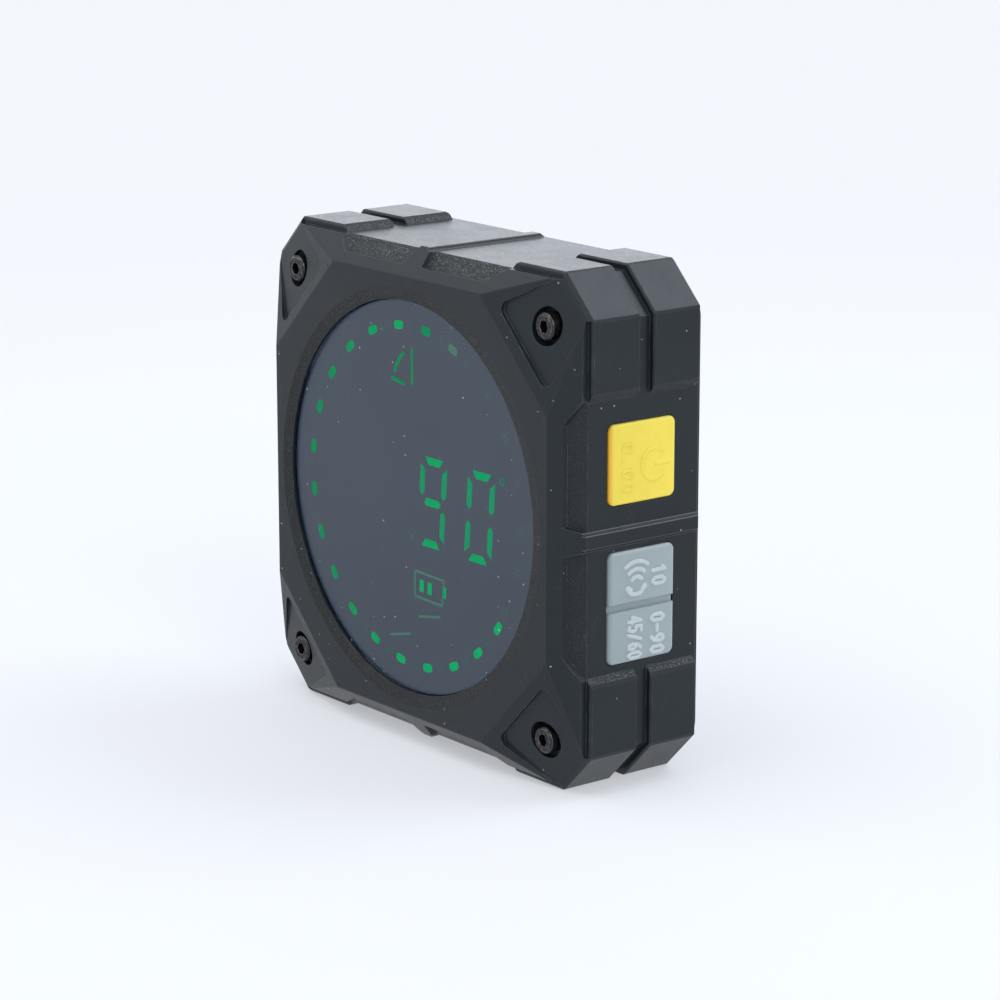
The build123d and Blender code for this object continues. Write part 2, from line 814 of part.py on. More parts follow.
with BuildPart() as contact_strip:
    strip_start = display_depth + glass_thickness
    with BuildSketch(facing(strip_start, z=-strip_centre)):
        Rectangle(strip_length, strip_width)
    extrude(amount=strip_start - board_depth)
finish(contact_strip, "contact_strip")

with BuildPart() as display_holder:
    # White cup that holds the glass and the light guide and stands on the board
    with BuildSketch(across()):
        Polygon(
            (0, holder_floor_depth), (holder_lip_radius, holder_floor_depth),
            (holder_lip_radius, display_back), (holder_seat_radius, display_back),
            (holder_seat_radius, front_wall), (holder_radius, front_wall),
            (holder_radius, board_depth), (holder_lip_radius, board_depth),
            (holder_lip_radius, holder_floor_depth + holder_floor),
            (0, holder_floor_depth + holder_floor),
            align=None,
        )
    revolve(axis=turn_axis)
    # Land below the light guide, with a slot for the contact strip
    with BuildSketch(facing(display_back)):
        Circle(holder_lip_radius)
        with Locations((0, holder_radius - guide_cut - strip_gap)):
            Rectangle(2 * holder_radius, 2 * holder_radius, mode=Mode.SUBTRACT)
    extrude(amount=display_back - board_depth)
    with BuildSketch(facing(front_wall, z=-strip_centre)):
        Rectangle(strip_length + 2 * strip_gap, strip_width + 2 * strip_gap)
    extrude(amount=front_wall - board_depth, mode=Mode.SUBTRACT)
finish(display_holder, "display_holder")

# Main board and what it carries

with BuildPart() as main_board:
    with BuildSketch(facing(board_depth)):
        octagon(board_flat, board_corner)
        with GridLocations(2 * post_position, 2 * post_position, 2, 2):
            Circle(board_hole_radius, mode=Mode.SUBTRACT)
        with Locations((header_x, header_z)):
            with GridLocations(0, header_pitch, 1, header_pin_count):
                Rectangle(pin_hole_width, pin_hole_width, mode=Mode.SUBTRACT)
    extrude(amount=-board_thickness)
finish(main_board, "main_board")

with BuildPart() as board_screws:
    with BuildSketch(facing(board_back)):
        with GridLocations(2 * post_position, 2 * post_position, 2, 2):
            Circle(board_screw_head_radius)
    extrude(amount=-board_screw_head_height)
    with BuildSketch(facing(board_back)):
        with GridLocations(2 * post_position, 2 * post_position, 2, 2):
            Circle(board_screw_radius)
    extrude(amount=board_screw_length)
finish(board_screws, "board_screws")

with BuildPart() as backlight_leds:
    with BuildSketch(facing(board_depth)):
        with GridLocations(0, led_spacing, 1, 3):
            Rectangle(led_width, led_height)
    extrude(amount=led_thickness)
finish(backlight_leds, "backlight_leds")

with BuildPart() as microcontroller:
    with BuildSketch(facing(board_back, chip_x, chip_z)):
        Rectangle(chip_width, chip_width)
    extrude(amount=-chip_height)
    with BuildSketch(facing(board_back, chip_x, chip_z)):
        with PolarLocations((chip_width + lead_reach) / 2, 4):
            with GridLocations(0, chip_lead_pitch, 1, chip_lead_count):
                Rectangle(lead_reach, chip_lead_width)
    extrude(amount=-lead_thickness)
finish(microcontroller, "microcontroller")

with BuildPart() as tilt_sensor:
    with BuildSketch(facing(board_back, sensor_x, sensor_z)):
        Rectangle(sensor_width, sensor_length)
    extrude(amount=-sensor_height)
finish(tilt_sensor, "tilt_sensor")

with BuildPart() as voice_chip:
    with BuildSketch(facing(board_back, voice_x, voice_z)):
        Rectangle(voice_width, voice_length)
    extrude(amount=-voice_height)
    with BuildSketch(facing(board_back, voice_x, voice_z)):
        with GridLocations(voice_width + lead_reach, voice_lead_pitch, 2, voice_lead_count):
            Rectangle(lead_reach, voice_lead_width)
    extrude(amount=-lead_thickness)
finish(voice_chip, "voice_chip")

# Charging socket

with BuildPart() as charging_port:
    with BuildSketch(facing_down(-port_mouth, port_x, port_depth)):
        RectangleRounded(port_width, port_height, (port_height - port_flat) / 2)
    extrude(amount=-port_length)
    with BuildSketch(facing_down(-port_mouth, port_x, port_depth)):
        inner_height = port_height - 2 * port_shell
        inner_radius = (inner_height - port_flat) / 2
        RectangleRounded(port_width - 2 * port_shell, inner_height, inner_radius)
    extrude(amount=port_shell - port_length, mode=Mode.SUBTRACT)
finish(charging_port, "charging_port")

with BuildPart() as port_tongue:
    tongue_back = port_mouth - port_length + port_shell
    with BuildSketch(facing_down(-tongue_back, port_x, port_depth)):
        Rectangle(tongue_width, tongue_thickness)
    extrude(amount=port_length - port_shell - port_recess)
    with BuildSketch(facing_down(-tongue_back, port_x, port_depth)):
        RectangleRounded(port_width - 2 * port_shell, inner_height, inner_radius)
    extrude(amount=port_length - port_shell - tongue_length - port_recess)
finish(port_tongue, "port_tongue")

# Key board, header and switches

key_board_top = upper_rail_z + rail_slot - rail_gap
key_board_bottom = -(lower_rail_z + rail_slot - rail_gap)

with BuildPart() as key_board:
    board_span = key_board_end - key_board_start
    board_mid = (key_board_start + key_board_end) / 2
    board_height = key_board_top - key_board_bottom
    board_z = (key_board_top + key_board_bottom) / 2
    with BuildSketch(facing_right(key_board_x, board_mid, board_z)):
        Rectangle(board_span, board_height)
    extrude(amount=key_board_thickness)
    with BuildSketch(facing_right(key_board_x, board_back + header_stand, header_z)):
        with GridLocations(0, header_pitch, 1, header_pin_count):
            Rectangle(pin_hole_width, pin_hole_width)
    extrude(amount=key_board_thickness, mode=Mode.SUBTRACT)
finish(key_board, "key_board")

with BuildPart() as key_header:
    with BuildSketch(facing(board_back, header_x, header_z)):
        Rectangle(header_width, header_pitch * header_pin_count)
    extrude(amount=-2 * header_stand)
    with BuildSketch(facing(board_depth - pin_end, header_x, header_z)):
        with GridLocations(0, header_pitch, 1, header_pin_count):
            Rectangle(pin_width, pin_width)
    extrude(amount=-(board_thickness + pin_end))
    with BuildSketch(facing_right(header_x, board_back + header_stand, header_z)):
        with GridLocations(0, header_pitch, 1, header_pin_count):
            Rectangle(pin_width, pin_width)
    extrude(amount=key_board_face + pin_end - header_x)
finish(key_header, "key_header")

switch_places = {"zero": key_z, "voice": rocker_arm - key_z, "hold": -rocker_arm - key_z}

with BuildPart() as key_switches:
    for z in switch_places.values():
        with BuildSketch(facing_right(key_board_face, key_depth, z)):
            RectangleRounded(switch_size, switch_size, switch_corner_radius)
        extrude(amount=switch_height)
        with BuildSketch(facing_right(key_board_face + switch_height, key_depth, z)):
            Circle(switch_bore_radius)
        extrude(amount=-switch_bore_depth, mode=Mode.SUBTRACT)
finish(key_switches, "key_switches")


def make_plunger(name, z):
    """Switch plunger with a stepped nose, standing under a key's peg."""
    with BuildPart() as plunger:
        with BuildSketch(facing_right(plunger_top - plunger_nose, key_depth, z)):
            Circle(plunger_radius)
        extrude(amount=plunger_nose - plunger_length)
        with BuildSketch(facing_right(plunger_top - plunger_nose, key_depth, z)):
            Circle(plunger_nose_radius)
        extrude(amount=plunger_nose)
    finish(plunger, name)


for place, z in switch_places.items():
    make_plunger(f"{place}_plunger", z)

# Zero key: a flanged slide with one peg

with BuildPart() as zero_key:
    with BuildSketch(facing_right(flange_outer_x, key_depth, key_z)):
        RectangleRounded(key_width, zero_key_height, key_corner_radius)
    extrude(amount=key_face_x - flange_outer_x)
    fillet(zero_key.faces().sort_by(Axis.X)[-1].edges(), key_edge)
    with BuildSketch(facing_right(flange_outer_x, key_depth, key_z)):
        RectangleRounded(
            key_width + 2 * flange_width, zero_key_height + 2 * flange_width,
            key_corner_radius + flange_width,
        )
    extrude(amount=-flange_thickness)
    with BuildSketch(facing_right(flange_outer_x - flange_thickness, key_depth, key_z)):
        Circle(key_peg_radius)
    extrude(amount=plunger_top + peg_gap - (flange_outer_x - flange_thickness))
finish(zero_key, "zero_key")

# Rocker key: two halves on a cross pin

with BuildPart() as rocker_key:
    rocker_back = key_face_x - rocker_thickness
    with BuildSketch(facing_right(rocker_back, key_depth, -key_z)):
        RectangleRounded(key_width, rocker_key_height, key_corner_radius)
    extrude(amount=rocker_thickness)
    fillet(rocker_key.faces().sort_by(Axis.X)[-1].edges(), key_edge)
    with BuildSketch(facing_right(key_face_x, key_depth, -key_z)):
        Rectangle(key_width, rocker_groove_width)
    extrude(amount=-rocker_groove_depth, mode=Mode.SUBTRACT)
    with BuildSketch(facing_right(rocker_back, key_depth, -key_z)):
        with GridLocations(0, 2 * rocker_arm, 1, 2):
            Circle(key_peg_radius)
    extrude(amount=plunger_top + peg_gap - rocker_back)
    with BuildSketch(facing(key_depth - key_width / 2 - margin, pin_x, -key_z)):
        Circle(pin_radius + pin_running_gap)
    extrude(amount=-(key_width + 2 * margin), mode=Mode.SUBTRACT)
finish(rocker_key, "rocker_key")

with BuildPart() as rocker_pin:
    with BuildSketch(facing(key_depth - pin_half_length, pin_x, -key_z)):
        Circle(pin_radius)
    extrude(amount=-2 * pin_half_length)
finish(rocker_pin, "rocker_pin")

# Battery and speaker

with BuildPart() as battery_pad:
    with BuildSketch(facing(battery_back, battery_x, battery_z)):
        Rectangle(battery_width - 2 * pad_inset, battery_height - 2 * pad_inset)
    extrude(amount=-pad_thickness)
finish(battery_pad, "battery_pad")

with BuildPart() as battery_cell:
    with BuildSketch(facing(battery_back - battery_thickness, battery_x, battery_z)):
        Rectangle(battery_width, battery_height)
    extrude(amount=-battery_thickness)
    fillet(battery_cell.edges().filter_by(Axis.Z), battery_radius)
finish(battery_cell, "battery_cell")

with BuildPart() as speaker:
    with BuildSketch(facing(cover_floor - speaker_gap, speaker_x, speaker_z)):
        Circle(speaker_radius)
    extrude(amount=speaker_thickness)
    with BuildSketch(facing(cover_floor - speaker_gap - speaker_thickness, speaker_x, speaker_z)):
        Circle(speaker_magnet_radius)
    extrude(amount=speaker_magnet_thickness)
finish(speaker, "speaker")
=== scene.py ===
import math

import bmesh
import bpy
from mathutils import Matrix, Vector


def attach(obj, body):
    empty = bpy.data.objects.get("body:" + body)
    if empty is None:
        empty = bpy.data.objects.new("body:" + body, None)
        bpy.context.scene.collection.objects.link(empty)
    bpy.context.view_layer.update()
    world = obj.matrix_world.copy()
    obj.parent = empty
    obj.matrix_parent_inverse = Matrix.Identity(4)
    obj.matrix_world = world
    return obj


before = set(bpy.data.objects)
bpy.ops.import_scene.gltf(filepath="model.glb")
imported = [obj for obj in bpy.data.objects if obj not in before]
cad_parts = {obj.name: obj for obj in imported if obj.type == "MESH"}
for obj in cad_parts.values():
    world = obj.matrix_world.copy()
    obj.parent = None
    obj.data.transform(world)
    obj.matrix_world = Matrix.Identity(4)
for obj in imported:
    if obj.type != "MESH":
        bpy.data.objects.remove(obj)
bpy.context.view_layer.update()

# Lengths here are in millimetres, as in the part's source; depths run back from the dial face.
MM = 0.001
FRONT_Y = -12.0          # dial face
BACK_DEPTH = 24.0
CENTRE_Z = 32.5          # middle of the square case
KEY_FACE_X = 31.9
KEY_MIDDLE_Y = 0.15
KEY_OFFSET = 9.0         # middle of each key, above or below the case's middle
FILM_DEPTH = 0.87        # the smoked film bonded inside the window, which the marks lie on
SEAM_DEPTH = 21.4        # joint between the housing and the rear cover


# ---- meshes

def mesh_object(name, bm, material, smooth=True):
    """Turns a bmesh in millimetres into an object in metres."""
    bmesh.ops.transform(bm, matrix=Matrix.Scale(MM, 4), verts=bm.verts)
    mesh = bpy.data.meshes.new(name)
    bm.to_mesh(mesh)
    bm.free()
    mesh.materials.append(material)
    mesh.polygons.foreach_set("use_smooth", [smooth] * len(mesh.polygons))
    obj = bpy.data.objects.new(name, mesh)
    bpy.context.scene.collection.objects.link(obj)
    return obj


CAP_STEPS = 4            # rings round each end of a raised stroke
RIDGE_STEPS = 8          # faces across its back


def add_ridge(bm, start, end, half_width, height, place):
    """A raised stroke with round ends and a round back, from start to end on a flat face."""
    (y0, z0), (y1, z1) = start, end
    length = math.hypot(y1 - y0, z1 - z0)
    along = ((y1 - y0) / length, (z1 - z0) / length) if length else (1.0, 0.0)
    side = (-along[1], along[0])
    rings = []
    quarter = math.pi / 2
    stations = [(0.0, i * quarter / CAP_STEPS - quarter) for i in range(CAP_STEPS + 1)]
    stations += [(length, i * quarter / CAP_STEPS) for i in range(CAP_STEPS + 1)]
    for base, angle in stations:
        radius = max(math.cos(angle), 0.02)
        shift = base + half_width * math.sin(angle)
        ring = []
        for j in range(RIDGE_STEPS + 1):
            turn = math.pi * j / RIDGE_STEPS
            across = half_width * radius * math.cos(turn)
            up = height * radius * math.sin(turn) ** 0.6
            y = y0 + along[0] * shift + side[0] * across
            z = z0 + along[1] * shift + side[1] * across
            ring.append(bm.verts.new(place(y, z, up)))
        rings.append(ring)
    for a, b in zip(rings, rings[1:]):
        for j in range(RIDGE_STEPS):
            bm.faces.new((a[j], b[j], b[j + 1], a[j + 1]))


def add_stroke(bm, points, half_width, height, place):
    """A raised line through several points."""
    for start, end in zip(points, points[1:]):
        add_ridge(bm, start, end, half_width, height, place)


def arc(cy, cz, radius, start, end, steps=10):
    """Points on an arc, angles in degrees."""
    out = []
    for i in range(steps + 1):
        angle = math.radians(start + (end - start) * i / steps)
        out.append((cy + radius * math.cos(angle), cz + radius * math.sin(angle)))
    return out


def add_plate(bm, outline, place, low, high):
    """A thin flat plate with the given outline."""
    lower = [bm.verts.new(place(a, b, low)) for a, b in outline]
    upper = [bm.verts.new(place(a, b, high)) for a, b in outline]
    bm.faces.new(upper)
    bm.faces.new(lower[::-1])
    for i in range(len(outline)):
        j = (i + 1) % len(outline)
        bm.faces.new((lower[i], lower[j], upper[j], upper[i]))


# Stroke shapes of plain figures in a box that is 1 high
FIGURE_WIDTH = 0.6
FIGURES = {
    "0": [[(0.3, 1), (0.08, 0.8), (0.08, 0.2), (0.3, 0), (0.52, 0.2), (0.52, 0.8), (0.3, 1)]],
    "1": [[(0.12, 0.78), (0.34, 1), (0.34, 0)]],
    "2": [[(0.06, 0.78), (0.18, 0.98), (0.42, 0.98), (0.54, 0.76), (0.06, 0), (0.56, 0)]],
    "3": [[(0.06, 0.88), (0.3, 1), (0.52, 0.78), (0.3, 0.53),
           (0.54, 0.26), (0.3, 0), (0.06, 0.12)]],
    "4": [[(0.42, 0), (0.42, 1), (0.04, 0.3), (0.58, 0.3)]],
    "5": [[(0.52, 1), (0.12, 1), (0.08, 0.56), (0.36, 0.62),
           (0.54, 0.34), (0.36, 0.02), (0.06, 0.08)]],
    "6": [[(0.48, 0.96), (0.2, 0.78), (0.07, 0.36), (0.22, 0.02), (0.46, 0.06),
           (0.54, 0.36), (0.34, 0.58), (0.1, 0.42)]],
    "7": [[(0.05, 1), (0.55, 1), (0.22, 0)]],
    "8": [[(0.3, 0.54), (0.1, 0.76), (0.3, 1), (0.5, 0.76), (0.3, 0.54), (0.06, 0.26),
           (0.3, 0), (0.54, 0.26), (0.3, 0.54)]],
    "9": [[(0.12, 0.04), (0.4, 0.22), (0.53, 0.64), (0.38, 0.98), (0.14, 0.94),
           (0.06, 0.64), (0.26, 0.42), (0.5, 0.58)]],
    "/": [[(0.02, 0), (0.5, 1)]],
    ".": [[(0.2, 0.02), (0.22, 0.02)]],
    "-": [[(0.08, 0.5), (0.5, 0.5)]],
}


def figure_strokes(text, height, width, pitch):
    """Strokes of a row of figures, from its lower left corner."""
    strokes = []
    for i, mark in enumerate(text):
        for line in FIGURES[mark]:
            strokes.append([(i * pitch + x / FIGURE_WIDTH * width, y * height) for x, y in line])
    return strokes


# ---- material nodes

DUST_SHIFT = (20.4, 7.2)   # moves the specks to places that look right from the front
OVER_45_DEGREES = 0.71     # part of a normal along an axis, for faces that look mostly that way


class Nodes:
    """Short names for the nodes that the materials here are made of."""

    def __init__(self, name):
        self.material = bpy.data.materials.new(name)
        self.material.use_nodes = True
        self.tree = self.material.node_tree
        self.tree.nodes.clear()
        self.output = self.tree.nodes.new("ShaderNodeOutputMaterial")
        self.shader = self.tree.nodes.new("ShaderNodeBsdfPrincipled")
        self.link(self.shader.outputs[0], self.output.inputs[0])
        coordinates = self.tree.nodes.new("ShaderNodeTexCoord")
        scale = self.tree.nodes.new("ShaderNodeVectorMath")
        scale.operation = "SCALE"
        scale.inputs["Scale"].default_value = 1 / MM
        self.link(coordinates.outputs["Object"], scale.inputs[0])
        self.place = scale.outputs[0]
        self.facing = coordinates.outputs["Normal"]

    def link(self, a, b):
        self.tree.links.new(a, b)

    def put(self, value, socket):
        """Links an output or sets a plain value."""
        if isinstance(value, bpy.types.NodeSocket):
            self.link(value, socket)
        else:
            socket.default_value = value

    def set(self, **values):
        """Sets or links sockets of the shader by name; _ stands for a space."""
        for name, value in values.items():
            if name in ("Base_Color", "Emission_Color", "Specular_Tint"):
                value = (*value, 1) if isinstance(value, tuple) else value
            self.put(value, self.shader.inputs[name.replace("_", " ")])

    def noise(self, scale, detail=3.0, roughness=0.55, vector=None):
        node = self.tree.nodes.new("ShaderNodeTexNoise")
        node.inputs["Scale"].default_value = scale
        node.inputs["Detail"].default_value = detail
        node.inputs["Roughness"].default_value = roughness
        self.link(vector or self.place, node.inputs["Vector"])
        return node.outputs["Fac"]

    def cell_borders(self, scale):
        """Distance to the nearest border between cells."""
        node = self.tree.nodes.new("ShaderNodeTexVoronoi")
        node.feature = "DISTANCE_TO_EDGE"
        node.inputs["Scale"].default_value = scale
        self.link(self.place, node.inputs["Vector"])
        return node.outputs["Distance"]

    def math(self, operation, a, b=0.0, c=0.0):
        node = self.tree.nodes.new("ShaderNodeMath")
        node.operation = operation
        self.put(a, node.inputs[0])
        self.put(b, node.inputs[1])
        if operation in ("MULTIPLY_ADD", "COMPARE"):
            self.put(c, node.inputs[2])
        return node.outputs[0]

    def distance(self, a, b):
        """Length of the slant over two sides at a right angle."""
        total = self.math("ADD", self.math("MULTIPLY", a, a), self.math("MULTIPLY", b, b))
        return self.math("SQRT", total)

    def between(self, value, low, high):
        """1 where a value lies between two others, else 0."""
        above = self.math("GREATER_THAN", value, low)
        return self.math("MULTIPLY", above, self.math("LESS_THAN", value, high))

    def spread(self, value, low, high, to_low=0.0, to_high=1.0, smooth=False):
        """Maps a value's range low..high to another range, held at both ends."""
        node = self.tree.nodes.new("ShaderNodeMapRange")
        node.interpolation_type = "SMOOTHSTEP" if smooth else "LINEAR"
        for socket, number in zip(list(node.inputs)[1:5], (low, high, to_low, to_high)):
            socket.default_value = number
        self.link(value, node.inputs[0])
        return node.outputs[0]

    def mix(self, factor, a, b):
        node = self.tree.nodes.new("ShaderNodeMix")
        node.data_type = "RGBA"
        self.put(factor, node.inputs["Factor"])
        for value, socket in ((a, node.inputs[6]), (b, node.inputs[7])):
            self.put((*value, 1) if isinstance(value, tuple) else value, socket)
        return node.outputs[2]

    def mix_numbers(self, factor, a, b):
        node = self.tree.nodes.new("ShaderNodeMix")
        node.data_type = "FLOAT"
        self.put(factor, node.inputs["Factor"])
        self.put(a, node.inputs[2])
        self.put(b, node.inputs[3])
        return node.outputs[0]

    def axes(self, vector=None):
        node = self.tree.nodes.new("ShaderNodeSeparateXYZ")
        self.link(vector or self.place, node.inputs[0])
        return node.outputs

    def flat_cells(self, size):
        """Cells of a size in millimetres, laid flat on the side that a face looks to."""
        x, y, z = self.axes()[:3]
        facing = self.axes(self.facing)
        on_end = self.math("GREATER_THAN", self.math("ABSOLUTE", facing[0]), OVER_45_DEGREES)
        on_top = self.math("GREATER_THAN", self.math("ABSOLUTE", facing[2]), OVER_45_DEGREES)
        along = self.mix_numbers(on_end, self.math("SUBTRACT", x, DUST_SHIFT[0]), y)
        up = self.mix_numbers(on_top, self.math("SUBTRACT", z, DUST_SHIFT[1]), y)
        joined = self.tree.nodes.new("ShaderNodeCombineXYZ")
        self.link(along, joined.inputs[0])
        self.link(up, joined.inputs[1])
        node = self.tree.nodes.new("ShaderNodeTexVoronoi")
        node.voronoi_dimensions = "2D"
        node.inputs["Scale"].default_value = 1 / size
        self.link(joined.outputs[0], node.inputs["Vector"])
        return node

    def dust(self, size, share, small, large):
        """Mask of specks: one in some cells, with a radius as a share of the cell."""
        cell = self.flat_cells(size)
        first, second = self.axes(cell.outputs["Color"])[:2]
        radius = self.spread(second, 0.0, 1.0, small, large)
        inside = self.math("LESS_THAN", cell.outputs["Distance"], radius)
        return self.math("MULTIPLY", inside, self.math("LESS_THAN", first, share))

    def hairlines(self):
        """Mask of a few fine, broken handling scratches."""
        wander = self.noise(0.22, 1.0, 0.4, self.stretched(1.0, 3.5, 0.6))
        line = self.math("COMPARE", wander, 0.5, 0.0022)
        broken = self.spread(self.noise(0.16, 2), 0.56, 0.66)
        return self.math("MULTIPLY", line, broken)

    def stretched(self, x, y, z):
        """Coordinates scaled along each axis, for grain that runs one way."""
        node = self.tree.nodes.new("ShaderNodeVectorMath")
        node.operation = "MULTIPLY"
        self.link(self.place, node.inputs[0])
        node.inputs[1].default_value = (x, y, z)
        return node.outputs[0]

    def edge_normal(self, radius):
        """Normal that rounds the sharp edges, and how near an edge a point is."""
        bevel = self.tree.nodes.new("ShaderNodeBevel")
        bevel.samples = 4
        bevel.inputs["Radius"].default_value = radius * MM
        geometry = self.tree.nodes.new("ShaderNodeNewGeometry")
        dot = self.tree.nodes.new("ShaderNodeVectorMath")
        dot.operation = "DOT_PRODUCT"
        self.link(bevel.outputs[0], dot.inputs[0])
        self.link(geometry.outputs["Normal"], dot.inputs[1])
        near = self.spread(dot.outputs["Value"], 0.995, 0.9)
        return bevel.outputs[0], near

    def bump(self, height, distance, normal=None):
        """Normal from a height of 0..1 that stands for a distance in millimetres."""
        node = self.tree.nodes.new("ShaderNodeBump")
        node.inputs["Distance"].default_value = distance * MM
        node.inputs["Strength"].default_value = 1.0
        self.link(height, node.inputs["Height"])
        if normal is not None:
            self.link(normal, node.inputs["Normal"])
        return node.outputs[0]


def varied(nodes, colour, amount, scale):
    """A colour with slow uneven lightness."""
    light = tuple(min(c * (1 + amount), 1.0) for c in colour)
    dark = tuple(c * (1 - amount) for c in colour)
    return nodes.mix(nodes.spread(nodes.noise(scale, 4), 0.3, 0.7), dark, light)


def moulded(name, colour, roughness, grain=0.01, edge=0.12, amount=0.12):
    """Injection-moulded plastic: fine grain, uneven sheen, slightly rubbed edges."""
    n = Nodes(name)
    rounded, near = n.edge_normal(edge)
    rubbed = n.math("MULTIPLY", near, n.spread(n.noise(1.3, 4), 0.45, 0.7, 0.1, 0.6))
    pale = tuple(min(c * 1.5 + 0.02, 1.0) for c in colour)
    n.set(Base_Color=n.mix(rubbed, varied(n, colour, amount, 0.4), pale))
    n.set(Roughness=n.spread(n.noise(0.6, 5), 0.3, 0.7, roughness - 0.06, roughness + 0.07))
    n.set(Normal=n.bump(n.noise(9, 4, 0.6), grain, rounded))
    n.set(Specular_IOR_Level=0.5)
    return n.material


def metal(name, colour, roughness, grain=(1, 1, 1), scratch=0.004):
    """Plated or turned metal: fine lines along the grain, dull patches."""
    n = Nodes(name)
    rounded = n.edge_normal(0.08)[0]
    lines = n.noise(6, 5, 0.6, n.stretched(*grain))
    dull = n.spread(n.noise(1.1, 5), 0.45, 0.75)
    tone = varied(n, colour, 0.08, 0.8)
    n.set(Base_Color=n.mix(n.math("MULTIPLY", dull, 0.3), tone, tuple(c * 0.7 for c in colour)))
    n.set(Metallic=1.0)
    lined = n.spread(lines, 0.3, 0.7, roughness - 0.05, roughness + 0.06)
    n.set(Roughness=n.math("MULTIPLY_ADD", dull, 0.12, lined))
    n.set(Normal=n.bump(lines, scratch, rounded))
    return n.material


# ---- the housing's charcoal plastic

# Places on the case that the paint follows; distances are from the case's middle
PANEL_SUNK = 0.85        # panel floor below the slope
SLOPE_START = 28.5
SLOPE_RISE = 1.0667      # outwards for each millimetre back
PANEL_SPAN = (1.25, 17.45)
DISH_RADII = (25.55, 27.15)
SIDE_FACE = 31.6
BUMPER_START = 17.15
BUMPER_RISE = 0.9474     # outwards for each millimetre along
RIB_EDGE = 1.03


